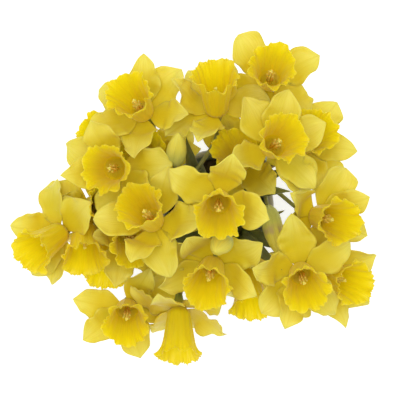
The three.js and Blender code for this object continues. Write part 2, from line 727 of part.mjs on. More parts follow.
for (const bulb of BULBS) {
  const name = `shoot_${bulb.id}`;
  LEAVES[bulb.id].forEach(([turn, size], i) => {
    const next = draws(SEED + bulb.id * 31 + i * 7);
    const root = vec(LEAF_RING * cos(rad(turn)), LEAF_RING * sin(rad(turn)), NECK_TOP - LEAF_SUNK);
    const foot = root.add(vec(bulb.x, bulb.y, 0));
    const lean = 30 + 25 * next();
    const twist = 50 * (next() - 0.5);
    const leaf = { foot, turn, lean, twist, width: LEAF_WIDTH, length: LEAF_LENGTH * size };
    const options = trials({
      turn: { values: [-40, -30, -20, -10, 0, 10, 20, 30, 40], weight: 0.1 },
      lean: { values: [-20, -10, 0, 10, 20, 30], weight: 0.12 },
      size: { values: [1, 0.85, 0.7], weight: 10, rest: 1 },
    });
    const bent = (trial) => ({
      ...leaf,
      turn: turn + trial.turn,
      lean: lean + trial.lean,
      length: leaf.length * trial.size,
    });
    const clear = (trial) => isClear(leafBody(bent(trial), MARGIN), name);
    const apart = (trial) => leafBody(bent(trial), 0, LEAF_FREE).intersect(shoots[name]).isEmpty();
    const found = options.find((trial) => apart(trial) && clear(trial)) ?? options.find(clear);
    if (!found) return;
    const body = leafBody(bent(found));
    shoots[name] = shoots[name].add(body);
    place(name, body);
  });
  const clump = new THREE.Group();
  clump.position.set(bulb.x, bulb.y, 0);
  part.add(clump);
  addMesh(clump, `bulb_${bulb.id}`, "bulb", bulbBody());
  addMesh(clump, name, "shoot", shoots[name].translate([-bulb.x, -bulb.y, 0]));
}

// Perianths: each tepal takes the gentlest bend that keeps it clear of all that is in place
const TEPAL_TRIALS = trials({
  sweep: { values: [-48, -40, -32, -24, -16, -8, 0, 8, 16, 24, 32, 40], weight: 0.12 },
  turn: { values: [-32, -24, -16, -8, 0, 8, 16, 24, 32], weight: 0.14 },
  curl: { values: [-30, 0, 30], weight: 0.05 },
  size: { values: [1, 0.85, 0.7, 0.55], weight: 20, rest: 1 },
});
for (const bloom of BLOOMS) {
  const name = `perianth_${bloom.id}`;
  const next = draws(SEED + bloom.index * 53 + 11);
  let body = bloom.tube;
  const siblings = [];
  const crosses = (tepal) => siblings.some((other) => !tepal.intersect(other).isEmpty());
  bloom.sweeps.forEach((sweep, i) => {
    const inner = i % 2;
    const shape = {
      base: inner ? WHORL_BASE : WHORL_BASE - WHORL_STEP,
      turn: bloom.turns[i] - bloom.azimuth - 90,
      sweep,
      length: TEPAL_LENGTH * (0.95 + 0.1 * next()),
      width: TEPAL_WIDTH * (inner ? 0.92 : 1.04),
      curl: 15 + 25 * next(),
      twist: 30 * (next() - 0.5),
      cup: 0.12 + 0.16 * next(),
    };
    const bent = (trial) => ({
      ...shape,
      sweep: shape.sweep + trial.sweep,
      turn: shape.turn + trial.turn,
      curl: shape.curl + trial.curl,
      length: shape.length * trial.size,
      width: shape.width * sqrt(trial.size),
    });
    const clear = (trial) => abs(shape.sweep + trial.sweep) <= SWEEP_LIMIT
      && isClear(inPart(tepalBody(bent(trial), MARGIN), bloom.group), name);
    const apart = (trial) => !crosses(tepalBody(bent(trial)));
    const found = TEPAL_TRIALS.find((trial) => apart(trial) && clear(trial)) ?? TEPAL_TRIALS.find(clear);
    if (!found) return;
    const tepal = tepalBody(bent(found));
    place(name, inPart(tepal, bloom.group));
    siblings.push(tepal);
    body = body.add(tepal);
  });
  addMesh(bloom.group, name, "perianth", body);
  addMesh(bloom.group, `corona_${bloom.id}`, "corona", bloom.corona);
}
for (const bud of BUDS) addMesh(bud.group, bud.name, "bud", bud.body);

export default part;
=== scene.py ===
"""Dresses the potted daffodils: petals, trumpets, stamens, buds, stems, leaves, bulbs, soil and pot."""

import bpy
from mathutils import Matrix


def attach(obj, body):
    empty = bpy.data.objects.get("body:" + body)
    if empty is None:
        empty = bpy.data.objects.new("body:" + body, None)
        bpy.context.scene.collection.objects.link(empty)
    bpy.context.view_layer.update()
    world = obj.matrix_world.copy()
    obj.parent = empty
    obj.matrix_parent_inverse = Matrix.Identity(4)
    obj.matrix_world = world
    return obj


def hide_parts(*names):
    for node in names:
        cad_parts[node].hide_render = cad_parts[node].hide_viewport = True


bl_info = {
    "name": "Potted Daffodils",
    "version": (1, 0, 0),
    "blender": (4, 5, 0),
    "location": "3D View > Sidebar > Daffodils",
    "description": "Builds a pot of miniature trumpet daffodils round its packed model",
    "category": "Add Mesh",
}

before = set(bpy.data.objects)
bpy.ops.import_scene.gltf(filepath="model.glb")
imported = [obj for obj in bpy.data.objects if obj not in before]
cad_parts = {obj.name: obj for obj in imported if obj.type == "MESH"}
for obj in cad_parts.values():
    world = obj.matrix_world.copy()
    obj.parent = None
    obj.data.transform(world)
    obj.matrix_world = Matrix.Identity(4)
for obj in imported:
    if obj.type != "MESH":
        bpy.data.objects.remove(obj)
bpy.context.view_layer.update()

import math

import bpy
import numpy as np
from mathutils import Matrix, Vector, noise

MM = 0.001

# Where every random draw starts, the steps of a draw, and how far apart the seeds of like pieces lie: by
# the number of the bloom or bulb, by the place on it, and from the start
SEED = 20417
DRAW_FACTOR = 1664525
DRAW_STEP = 1013904223
DRAW_RANGE = 2 ** 32
SEED_STEPS = {
    "tepal bends": (53, 0, 11),
    "tepal margins": (61, 7, 0),
    "rim folds": (97, 0, 0),
    "rim teeth": (41, 0, 5),
    "spathes": (13, 1, 0),
    "leaves": (31, 7, 0),
    "crumbs": (0, 0, 3),
}

# Blooms: the place of the perianth's middle in millimetres, the compass angle and lift of the trumpet, and
# for each of its six tepals the compass angle seen from above and how far it sweeps forward, in degrees
BLOOMS = [
    ("f", (-1, 5, 223), -95, 74, (147, 76, -12, -60, -108, 215), (14, 56, 58, -35, -50, -48)),
    ("g", (-46, -9, 210), 124, 66, (105, 70, 0, -102, -74, 180), (12, 35, 42, 55, -12, 15)),
    ("d", (36, 42, 208), 43, 78, (118, 76, 32, -26, -66, 205), (18, 30, 55, 15, 42, 50)),
    ("t", (57, -45, 198), -92, 75, (226, 260, -52, 8, 100, 165), (22, 48, 12, 15, 5, 48)),
    ("r", (-5, -40, 200), -109, 66, (151, 92, 30, -25, 250, 200), (42, 50, 30, 50, -40, 15)),
    ("a", (-54, 68, 193), 132, 70, (48, 86, 150, 208, -90, -13), (16, 30, 8, 20, 50, 38)),
    ("b", (-2, 69, 194), 94, 52, (121, 165, 205, 252, 14, 78), (28, 35, 0, 18, 15, 48)),
    ("u", (71, -6, 184), -16, 70, (58, 25, -21, -80, 236, 148), (18, 40, 28, 20, 50, 58)),
    ("h", (-72, 28, 200), -160, 82, (155, 188, 250, 320, 20, 90), (14, 58, 10, 20, 30, 40)),
    ("c", (36, 91, 184), 95, 80, (123, 195, 250, 290, 20, 70), (24, -40, 20, -20, 12, -40)),
    ("q", (-29, -74, 180), -89, 28, (179, 240, -66, -28, 40, 110), (10, 20, 28, 30, 15, 20)),
    ("n", (-67, -19, 170), -45, 72, (254, -48, 0, 60, 120, 190), (10, 15, 10, 20, 15, 20)),
    ("l", (-115, -18, 175), -142, 52, (172, 110, 50, -10, 258, 236), (46, -30, -30, -20, 40, 48)),
    ("p", (-68, -75, 160), -75, 76, (172, 213, 268, -38, 25, 95), (4, 20, 28, 20, 25, 40)),
    ("m", (-99, -15, 166), -80, 50, (150, 105, 60, 0, -60, -120), (40, 20, 10, 15, -40, -35)),
    ("o", (-82, -24, 142), -95, 30, (180, 120, 60, 0, -60, -120), (10, 15, 10, 15, -40, -35)),
    ("k", (-93, 1, 162), 8, 62, (162, 190, 240, 310, 10, 80), (4, 10, 10, 20, 20, 25)),
    ("j", (-74, 48, 158), 160, 65, (207, 150, 90, 30, -30, -90), (12, -30, 10, 15, 10, -10)),
    ("i", (-54, 36, 154), 90, 80, (40, -15, -70, 210, 150, 95), (15, 20, 10, 15, 10, 15)),
    ("w", (16, 34, 168), 131, 74, (152, 112, 60, 5, -46, -105), (20, 15, 10, 15, 10, 15)),
    ("e", (62, 47, 166), 50, 74, (50, -8, -35, -78, -160, 110), (28, 25, 5, 40, 15, 20)),
    ("v", (80, -49, 168), -16, 62, (-35, -78, -140, 160, 90, 22), (35, 28, 10, 15, 10, 40)),
    ("s", (20, -46, 162), -81, 40, (253, 200, 150, 90, 20, -50), (10, 15, 10, 15, 10, 15)),
]

# Buds: the place of the foot, the compass angle, the lift, the length and the width
BUDS = [
    ("bud_1", (-31, 31, 200), 82, 50, 31, 14),
    ("bud_2", (4, -20, 213), -135, 66, 28, 15),
    ("bud_3", (36, 1, 168), -79, 30, 42, 15),
]

# The bulbs' places, what each flower stem carries and the angle and length of each leaf
BULBS = {1: (-17, 14), 2: (17, 16), 3: (16, -17), 4: (-18, -16)}
UMBELS = {
    1: (("a", "j"), ("h", "i"), ("b", "bud_1")),
    2: (("c",), ("d", "e"), ("w",)),
    3: (("t", "v"), ("r", "s"), ("u", "bud_3"), ("f", "bud_2")),
    4: (("g", "k"), ("n", "o"), ("m", "l"), ("p", "q")),
}
LEAVES = {
    1: ((100, 1), (150, 0.95), (200, 1.05), (50, 0.8)),
    2: ((20, 1), (75, 0.95), (120, 0.85), (-25, 1.1)),
    3: ((-20, 1), (-70, 1.05), (-120, 0.9), (25, 0.8)),
    4: ((175, 1), (225, 1.05), (-90, 0.95), (-45, 0.85)),
}

# Fixed places in millimetres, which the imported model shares
POT_HEIGHT = 88
POT_RIM = 48
POT_FOOT = 34
POT_WALL = 3.2
POT_FLOOR = 4
RIM_DEPTH = 13
RIM_PROUD = 3
DRAIN_RADIUS = 4
DRAIN_RING = 18
DRAIN_HOLES = 3
SOIL_TOP = 74
BULB_RADIUS = 12.5
BULB_HEIGHT = 34
BULB_TOP = 86
NOSE_BORE = 6
NOSE_BORE_DEPTH = 12
NECK_TOP = 98
NECK_RADIUS = 5.7
STEM_RING = 3.3
STEM_SUNK = 6
LEAF_RING = 4.4
LEAF_SUNK = 5
FORK_DROP = 20
FORK_CLEAR = 12
FORK_INWARD = 0.8
FORK_SUNK = 2
TUBE_LENGTH = 12
TUBE_FOOT = 2.6
TUBE_TOP = 6.6
OVARY_LENGTH = 8
OVARY_RADIUS = 3.1
SEAT_GAP = 0.3
TEPAL_ROOT = 4.6
WHORL_BASE = -0.8
WHORL_STEP = 0.9
TRUMPET_SEAT = 1.3

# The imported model's own blade thicknesses and stations, by which its bends are read
PACKED_TEPAL = 0.8
PACKED_LEAF = 1.0
TEPAL_STATIONS = (0.36, 0.74)
LEAF_STATIONS = (0.35, 0.72)
MATCH_SLACK = 0.05
RING_SLACK = 0.01

# The finest gap that is closed where corners meet, and the fewest tepals that a bloom keeps
MERGE = 0.02 * MM
FEWEST_TEPALS = 3

# Second colours of finishes that have two
PALE_PAPER = (0.62, 0.5, 0.33)
LEAF_WAX = (0.15, 0.18, 0.09)
PALE_SHEATH = (0.5, 0.52, 0.3)
GRIT = (0.22, 0.18, 0.13)

# The studio: the lamp's place and width, the point that it faces, the floor's width and the camera's film
LAMP_PLACE = (-0.12, 0.12, 1.5)
LAMP_WIDTH = 1.0
LAMP_TARGET = (0, 0, 0.15)
FLOOR_WIDTH = 6
FILM_WIDTH = 36
NEAREST_SEEN = 0.01


class TepalSettings(bpy.types.PropertyGroup):
    """Sizes and colours of the six spreading petals of a bloom."""

    length: bpy.props.FloatProperty(
        name="Length", description="From the floral tube to the tip", default=37.5 * MM, unit="LENGTH")
    width: bpy.props.FloatProperty(
        name="Width", description="Across the widest place", default=25 * MM, unit="LENGTH")
    fullness: bpy.props.FloatProperty(
        name="Fullness", description="How much fuller the margin is than a plain blade",
        default=1.05, min=0.5)
    thickness: bpy.props.FloatProperty(
        name="Thickness", description="Thickness of a petal", default=0.45 * MM, unit="LENGTH")
    ruffle: bpy.props.FloatProperty(
        name="Ruffle", description="How deep the margins wave", default=2.5 * MM, unit="LENGTH")
    buckle: bpy.props.FloatProperty(
        name="Buckle", description="How far the blade buckles between rib and margin",
        default=1.1 * MM, unit="LENGTH")
    colour: bpy.props.FloatVectorProperty(
        name="Colour", description="Lemon yellow of the blade", subtype="COLOR",
        default=(0.685, 0.54, 0.013))
    pale: bpy.props.FloatVectorProperty(
        name="Tip colour", description="Paler yellow of tips and margins", subtype="COLOR",
        default=(0.83, 0.73, 0.125))
    deep: bpy.props.FloatVectorProperty(
        name="Root colour", description="Deeper yellow near the trumpet", subtype="COLOR",
        default=(0.655, 0.50, 0.006))
    green: bpy.props.FloatVectorProperty(
        name="Tube colour", description="Green of the floral tube", subtype="COLOR",
        default=(0.30, 0.36, 0.06))


class TrumpetSettings(bpy.types.PropertyGroup):
    """Sizes and colours of the trumpet and what stands in it."""

    length: bpy.props.FloatProperty(
        name="Length", description="From the perianth to the rim", default=36 * MM, unit="LENGTH")
    foot: bpy.props.FloatProperty(
        name="Foot radius", description="Radius where it leaves the perianth", default=8 * MM, unit="LENGTH")
    mouth: bpy.props.FloatProperty(
        name="Mouth radius", description="Radius at the rim", default=15.4 * MM, unit="LENGTH")
    wall: bpy.props.FloatProperty(
        name="Wall", description="Thickness of the wall", default=0.32 * MM, unit="LENGTH")
    frill: bpy.props.FloatProperty(
        name="Frill", description="How deep the rim folds", default=1.5 * MM, unit="LENGTH")
    teeth: bpy.props.FloatProperty(
        name="Teeth", description="How far the rim's small teeth stand up", default=4.8 * MM, unit="LENGTH")
    crimp: bpy.props.FloatProperty(
        name="Crimp", description="How far the rim's lobes lean out or in", default=2.4 * MM, unit="LENGTH")
    colour: bpy.props.FloatVectorProperty(
        name="Colour", description="Golden yellow of the wall", subtype="COLOR",
        default=(0.855, 0.565, 0.004))
    # Painted shade: the rim colour is a touch darker than the wall, to tone down the light that the thin rim
    # catches
    rim: bpy.props.FloatVectorProperty(
        name="Rim colour", description="Yellow of the frilled rim", subtype="COLOR",
        default=(0.84, 0.56, 0.006))
    # Painted light: the throat is coloured lighter than the wall so that it looks lit in the shade deep
    # inside the trumpet
    throat_painted_light: bpy.props.FloatVectorProperty(
        name="Throat colour", description="Gold inside, light enough to glow in the shade",
        subtype="COLOR", default=(0.98, 0.67, 0.005))
    pollen: bpy.props.FloatVectorProperty(
        name="Pollen colour", description="Colour of the anthers", subtype="COLOR",
        default=(0.92, 0.77, 0.15))


class FoliageSettings(bpy.types.PropertyGroup):
    """Sizes and colours of stems, leaves, buds and spathes."""

    scape: bpy.props.FloatProperty(
        name="Stem radius", description="Radius of a flower stem", default=2.3 * MM, unit="LENGTH")
    pedicel: bpy.props.FloatProperty(
        name="Stalk radius", description="Radius of a bloom's own stalk", default=1.6 * MM, unit="LENGTH")
    leaf_length: bpy.props.FloatProperty(
        name="Leaf length", description="Length of a leaf above the neck", default=108 * MM, unit="LENGTH")
    leaf_width: bpy.props.FloatProperty(
        name="Leaf width", description="Width of a leaf", default=11 * MM, unit="LENGTH")
    leaf_thickness: bpy.props.FloatProperty(
        name="Leaf thickness", description="Thickness of a leaf", default=0.9 * MM, unit="LENGTH")
    stem: bpy.props.FloatVectorProperty(
        name="Stem colour", description="Green of the stems", subtype="COLOR", default=(0.25, 0.25, 0.05))
    leaf: bpy.props.FloatVectorProperty(
        name="Leaf colour", description="Olive green of the leaves", subtype="COLOR",
        default=(0.24, 0.25, 0.05))
    sheath: bpy.props.FloatVectorProperty(
        name="Sheath colour", description="Pale green of the neck", subtype="COLOR",
        default=(0.36, 0.38, 0.14))
    bud: bpy.props.FloatVectorProperty(
        name="Bud colour", description="Yellow green of a closed bud", subtype="COLOR",
        default=(0.57, 0.58, 0.12))
    bud_tip: bpy.props.FloatVectorProperty(
        name="Bud tip colour", description="Yellow that shows towards a bud's tip", subtype="COLOR",
        default=(0.78, 0.68, 0.08))
    paper: bpy.props.FloatVectorProperty(
        name="Spathe colour", description="Tan of the papery spathe", subtype="COLOR",
        default=(0.48, 0.33, 0.18))


class PotSettings(bpy.types.PropertyGroup):
    """Colours of the pot, the soil and the bulbs."""

    glaze: bpy.props.FloatVectorProperty(
        name="Glaze", description="Grey green of the glaze", subtype="COLOR", default=(0.15, 0.19, 0.13))
    # Painted highlight: the pale stony colour laid on the top of the pot's rim, where the light falls
    wear_and_painted_highlight: bpy.props.FloatVectorProperty(
        name="Thin glaze", description="Stone colour where the glaze runs thin", subtype="COLOR",
        default=(0.42, 0.38, 0.29))
    soil: bpy.props.FloatVectorProperty(
        name="Soil", description="Dark brown of the compost", subtype="COLOR", default=(0.035, 0.024, 0.016))
    bulb: bpy.props.FloatVectorProperty(
        name="Bulb skin", description="Brown of the bulb's papery skin", subtype="COLOR",
        default=(0.24, 0.12, 0.05))


class StageSettings(bpy.types.PropertyGroup):
    """The camera and the lights."""

    camera_place: bpy.props.FloatVectorProperty(
        name="Camera", description="Where the camera hangs over the pot", subtype="TRANSLATION",
        default=(-13.7 * MM, 5.7 * MM, 798 * MM))
    focal: bpy.props.FloatProperty(
        name="Focal length", description="Lens in millimetres on a 36 mm sensor", default=77.04)
    sky: bpy.props.FloatProperty(
        name="Sky light", description="Strength of the even white light", default=0.66)
    lamp: bpy.props.FloatProperty(
        name="Key light", description="Power of the soft lamp in watts", default=9)
    floor: bpy.props.FloatVectorProperty(
        name="Floor", description="Colour of the pale floor", subtype="COLOR", default=(0.98, 0.98, 0.98))
    glow: bpy.props.FloatProperty(
        name="Floor glow", description="How far the floor is lit from below, as a light table is",
        default=0.4)


def draws(seed):
    """A row of numbers from a seed, each from 0 to 1."""
    state = seed
    while True:
        state = (state * DRAW_FACTOR + DRAW_STEP) % DRAW_RANGE
        yield state / DRAW_RANGE


def drawn(number, low, spread):
    """The next number of a row, stretched to run from low over a spread."""
    return low + spread * next(number)


def seed_of(use, group=0, place=0):
    """The seed of one piece's draws, by what they are for."""
    by_group, by_place, start = SEED_STEPS[use]
    return SEED + group * by_group + place * by_place + start


def deselect():
    """Leaves nothing selected."""
    bpy.ops.object.select_all(action="DESELECT")


def choose(*objects):
    """Selects these objects alone, the first of them active."""
    deselect()
    for thing in objects:
        thing.select_set(True)
    bpy.context.view_layer.objects.active = objects[0]


def corners_of(mesh):
    """A mesh's corners as an array."""
    flat = np.empty(len(mesh.vertices) * 3, np.float32)
    mesh.vertices.foreach_get("co", flat)
    return flat.reshape(-1, 3).astype(float)


def set_corners(mesh, points):
    """Moves a mesh's corners to these places."""
    mesh.vertices.foreach_set("co", np.asarray(points, np.float32).ravel())
    mesh.update()


def copy_of(blank, name):
    """A copy of a blank with a mesh of its own."""
    piece = blank.copy()
    piece.data = blank.data.copy()
    piece.name = name
    bpy.context.collection.objects.link(piece)
    return piece


def mark_grain(mesh, across, along, seed):
    """Stores how far each corner lies across and along its petal, and a number that is the petal's own."""
    count = len(mesh.vertices)
    values = np.empty((count, 3), np.float32)
    values[:, 0] = across
    values[:, 1] = along
    values[:, 2] = seed
    grain = mesh.attributes.new("grain", "FLOAT_VECTOR", "POINT")
    grain.data.foreach_set("vector", values.ravel())


def join(pieces, name):
    """Joins pieces into the first of them."""
    choose(*pieces)
    if len(pieces) > 1:
        bpy.ops.object.join()
    joined = bpy.context.object
    joined.name = name
    joined.data.name = name
    return joined


def face_outwards(piece, merge=0.0):
    """Merges doubles if asked and points every face outwards."""
    choose(piece)
    bpy.ops.object.mode_set(mode="EDIT")
    bpy.ops.mesh.select_all(action="SELECT")
    if merge:
        bpy.ops.mesh.remove_doubles(threshold=merge)
    bpy.ops.mesh.normals_make_consistent(inside=False)
    bpy.ops.object.mode_set(mode="OBJECT")


def thicken(piece, thickness, offset):
    """Gives a sheet its thickness."""
    choose(piece)
    wall = piece.modifiers.new("Thickness", "SOLIDIFY")
    wall.thickness = thickness
    wall.offset = offset
    bpy.ops.object.modifier_apply(modifier=wall.name)


def hand_over(piece, material, slot, *nodes):
    """Finishes a piece: its material, its smooth shading, hiding the imported nodes that it stands for, and
    the body it rides on.
    """
    piece.data.materials.clear()
    piece.data.materials.append(material)
    piece.data.polygons.foreach_set("use_smooth", [True] * len(piece.data.polygons))
    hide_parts(*nodes)
    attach(piece, "root")


def head_matrix(at, azimuth, lift):
    """A bloom's or bud's own frame, in millimetres, with +Z the way that it points."""
    turn = Matrix.Rotation(math.radians(azimuth + 90), 4, "Z")
    tilt = Matrix.Rotation(math.radians(90 - lift), 4, "X")
    return Matrix.Translation(at) @ (turn @ tilt)


def carried(matrix, points):
    """Points taken through a matrix."""
    turn = np.array(matrix.to_3x3())
    return points @ turn.T + np.array(matrix.translation)


def stand(piece, matrix):
    """Moves a piece that was drawn in millimetres to its place in metres."""
    set_corners(piece.data, carried(matrix, corners_of(piece.data)) * MM)


def grid_blank(name, across, along):
    """A flat grid, from -1 to 1 across and 0 to 1 along."""
    deselect()
    bpy.ops.mesh.primitive_grid_add(x_subdivisions=across, y_subdivisions=along, size=2)
    blank = bpy.context.object
    blank.name = name
    points = corners_of(blank.data)
    points[:, 1] = (points[:, 1] + 1) / 2
    set_corners(blank.data, points)
    return blank


def turned_blank(name, sides, rings, closed):
    """A disc whose edge is drawn up ring by ring, one unit at a time, and gathered at its end if closed."""
    deselect()
    bpy.ops.mesh.primitive_circle_add(vertices=sides, radius=1, fill_type="TRIFAN")
    blank = bpy.context.object
    blank.name = name
    bpy.ops.object.mode_set(mode="EDIT")
    bpy.ops.mesh.select_mode(type="EDGE")
    bpy.ops.mesh.select_all(action="DESELECT")
    bpy.ops.mesh.select_non_manifold()
    for _ in range(rings + (1 if closed else 0)):
        bpy.ops.mesh.extrude_edges_move(TRANSFORM_OT_translate={"value": (0, 0, 1)})
    if closed:
        bpy.ops.mesh.merge(type="CENTER")
    bpy.ops.mesh.select_mode(type="VERT")
    bpy.ops.object.mode_set(mode="OBJECT")
    return blank


def turned(blank, name, shape):
    """A copy of a turned blank, where shape gives the radius and height for each angle and ring."""
    piece = copy_of(blank, name)
    places = corners_of(piece.data)
    angle = np.arctan2(places[:, 1], places[:, 0])
    level = np.rint(places[:, 2]).astype(int)
    spread = np.hypot(places[:, 0], places[:, 1]) > 0.5
    radius, height = shape(angle, level)
    radius = radius * spread
    set_corners(piece.data, np.stack([radius * np.cos(angle), radius * np.sin(angle), height], 1))
    return piece, angle, level


def put(tree, kind, values=None, **settings):
    """Adds a node, with its settings and what its inputs hold or are fed by."""
    made = tree.nodes.new(kind)
    for key, value in settings.items():
        setattr(made, key, value)
    for key, value in (values or {}).items():
        socket = made.inputs[key]
        if isinstance(value, bpy.types.NodeSocket):
            tree.links.new(value, socket)
        else:
            socket.default_value = value
    return made


def maths(tree, operation, a, b=0.0, clamp=False):
    """The output of a math node."""
    return put(tree, "ShaderNodeMath", {0: a, 1: b}, operation=operation, use_clamp=clamp).outputs[0]


# The sockets of a mix node that a colour mix uses
MIX_FACTOR = 0
MIX_FIRST = 6
MIX_SECOND = 7
MIX_RESULT = 2


def mix(tree, factor, a, b):
    """The output of a colour mix."""
    made = tree.nodes.new("ShaderNodeMix")
    made.data_type = "RGBA"
    for index, value in ((MIX_FACTOR, factor), (MIX_FIRST, a), (MIX_SECOND, b)):
        if isinstance(value, bpy.types.NodeSocket):
            tree.links.new(value, made.inputs[index])
        else:
            made.inputs[index].default_value = value if index == MIX_FACTOR else (*value[:3], 1)
    return made.outputs[MIX_RESULT]


def faded(tree, mask, strength):
    """A mask at part of its strength."""
    return maths(tree, "MULTIPLY", mask, strength)


def shade(colour, amount):
    """A darker or lighter shade of a colour."""
    return [amount * part for part in colour]


def ramp(tree, factor, low, high):
    """How far a value has gone from low to high, from 0 to 1, with soft ends."""
    return put(tree, "ShaderNodeMapRange", {"Value": factor, "From Min": low, "From Max": high},
               interpolation_type="SMOOTHSTEP").outputs["Result"]


# The shader inputs that a finish may set, by the words used for them here
SHADER_INPUTS = {
    "subsurface_weight": "Subsurface Weight",
    "subsurface_radius": "Subsurface Radius",
    "subsurface_scale": "Subsurface Scale",
    "specular": "Specular IOR Level",
    "coat": "Coat Weight",
    "coat_roughness": "Coat Roughness",
    "sheen": "Sheen Weight",
    "sheen_roughness": "Sheen Roughness",
}


def new_material(name, roughness, **constants):
    """An empty material with its Principled shader, whose plain values are set here."""
    material = bpy.data.materials.new(name)
    material.use_nodes = True
    tree = material.node_tree
    shader = tree.nodes["Principled BSDF"]
    shader.inputs["Roughness"].default_value = roughness
    for key, value in constants.items():
        shader.inputs[SHADER_INPUTS[key]].default_value = value
    return material, tree, shader


def new_group(name, inputs, outputs):
    """An empty node group with named number inputs and outputs."""
    group = bpy.data.node_groups.new(name, "ShaderNodeTree")
    for label, value in inputs:
        socket = group.interface.new_socket(label, in_out="INPUT", socket_type="NodeSocketFloat")
        socket.default_value = value
    for label in outputs:
        group.interface.new_socket(label, in_out="OUTPUT", socket_type="NodeSocketFloat")
    return group, group.nodes.new("NodeGroupInput"), group.nodes.new("NodeGroupOutput")


# How far apart the veins and the blotches of two petals lie in the noise, and the size of a blotch
VEIN_APART = 17.0
BLOTCH_APART = 29.0
BLOTCH_ACROSS = 1.3
BLOTCH_ALONG = 2.2


def petal_vein_group():
    """Fine veins that run along a petal, a leaf or a trumpet, by its own grain."""
    group, given, wanted = new_group("Petal Veins", (("Fineness", 12.0), ("Length", 1.5)),
                                     ("Veins", "Mottle", "Along", "Across", "Own"))
    grain = put(group, "ShaderNodeAttribute", attribute_name="grain")
    parts = put(group, "ShaderNodeSeparateXYZ", {0: grain.outputs["Vector"]})
    across, along, own = parts.outputs
    place = put(group, "ShaderNodeCombineXYZ", {
        0: maths(group, "MULTIPLY", across, given.outputs["Fineness"]),
        1: maths(group, "MULTIPLY", along, given.outputs["Length"]),
        2: maths(group, "MULTIPLY", own, VEIN_APART),
    })
    veins = put(group, "ShaderNodeTexNoise", {"Vector": place.outputs[0], "Scale": 1.0, "Detail": 3.0})
    blotch = put(group, "ShaderNodeCombineXYZ", {
        0: maths(group, "MULTIPLY", across, BLOTCH_ACROSS),
        1: maths(group, "MULTIPLY", along, BLOTCH_ALONG),
        2: maths(group, "MULTIPLY", own, BLOTCH_APART),
    })
    mottle = put(group, "ShaderNodeTexNoise", {"Vector": blotch.outputs[0], "Scale": 1.0, "Detail": 2.0})
    for label, source in (("Veins", veins.outputs[0]), ("Mottle", mottle.outputs[0]),
                          ("Along", along), ("Across", across), ("Own", own)):
        group.links.new(source, wanted.inputs[label])
    return group


def speckle_group():
    """Soft patches and fine specks in the object's own space, for glaze, soil, bulbs and stems."""
    sizes = (("Patches", 40.0), ("Specks", 900.0), ("Stretch", 1.0))
    group, given, wanted = new_group("Speckle", sizes, ("Patches", "Specks", "Height"))
    place = put(group, "ShaderNodeTexCoord").outputs["Object"]
    parts = put(group, "ShaderNodeSeparateXYZ", {0: place})
    level = maths(group, "MULTIPLY", parts.outputs[2], given.outputs["Stretch"])
    spot = put(group, "ShaderNodeCombineXYZ", {0: parts.outputs[0], 1: parts.outputs[1], 2: level})
    patches = put(group, "ShaderNodeTexNoise", {
        "Vector": spot.outputs[0], "Scale": given.outputs["Patches"], "Detail": 3.0})
    specks = put(group, "ShaderNodeTexNoise", {
        "Vector": spot.outputs[0], "Scale": given.outputs["Specks"], "Detail": 2.0})
    fine = ramp(group, specks.outputs[0], low=0.56, high=0.68)
    height = maths(group, "ADD", faded(group, specks.outputs[0], strength=0.4), patches.outputs[0])
    for label, source in (("Patches", patches.outputs[0]), ("Specks", fine), ("Height", height)):
        group.links.new(source, wanted.inputs[label])
    return group


def grain_node(tree, fineness, length):
    """The petal vein group, set for one material."""
    made = put(tree, "ShaderNodeGroup", node_tree=shared_group("Petal Veins", petal_vein_group))
    made.inputs["Fineness"].default_value = fineness
    made.inputs["Length"].default_value = length
    return made.outputs


def speckle_node(tree, patches, specks, stretch=1.0):
    """The speckle group, set for one material."""
    made = put(tree, "ShaderNodeGroup", node_tree=shared_group("Speckle", speckle_group))
    made.inputs["Patches"].default_value = patches
    made.inputs["Specks"].default_value = specks
    made.inputs["Stretch"].default_value = stretch
    return made.outputs


def shared_group(name, maker):
    """The node group of that name, made the first time."""
    return bpy.data.node_groups.get(name) or maker()


def feed_shader(tree, shader, colour, height, strength, distance):
    """Feeds a shader its colour and, through a bump, its relief."""
    relief = put(tree, "ShaderNodeBump", {"Height": height, "Strength": strength, "Distance": distance})
    tree.links.new(colour, shader.inputs["Base Color"])
    tree.links.new(relief.outputs[0], shader.inputs["Normal"])


def tepal_material():
    """Soft lemon petals, deeper at the root, paler at the tip and margins, with fine veins."""
    look = bpy.context.scene.daffodil_tepals
    material, tree, shader = new_material(
        "lemon petal", roughness=0.5, subsurface_weight=0.35, subsurface_radius=(1.0, 0.75, 0.15),
        subsurface_scale=0.0025, sheen=0.12, sheen_roughness=0.4, specular=0.3)
    grain = grain_node(tree, fineness=16.0, length=1.6)
    root = ramp(tree, grain["Along"], low=-0.02, high=0.42)
    colour = mix(tree, root, look.deep, look.colour)
    from_rib = maths(tree, "ABSOLUTE", grain["Across"])
    tip = ramp(tree, grain["Along"], low=0.38, high=0.95)
    margin = ramp(tree, from_rib, low=0.55, high=1.05)
    paler = maths(tree, "MAXIMUM", tip, faded(tree, margin, strength=0.5))
    uneven = maths(tree, "ADD", faded(tree, grain["Mottle"], strength=0.8), 0.45)
    paler = maths(tree, "MULTIPLY", paler, uneven, clamp=True)
    colour = mix(tree, maths(tree, "MULTIPLY", paler, root), colour, look.pale)
    streak = ramp(tree, grain["Veins"], low=0.42, high=0.72)
    colour = mix(tree, faded(tree, streak, strength=0.32), colour, look.deep)
    rib = ramp(tree, from_rib, low=0.16, high=0.0)
    colour = mix(tree, faded(tree, rib, strength=0.22), colour, look.deep)
    tube = ramp(tree, grain["Along"], low=-0.03, high=-0.3)
    colour = mix(tree, tube, colour, look.green)
    feed_shader(tree, shader, colour, grain["Veins"], strength=0.35, distance=0.5 * MM)
    return material


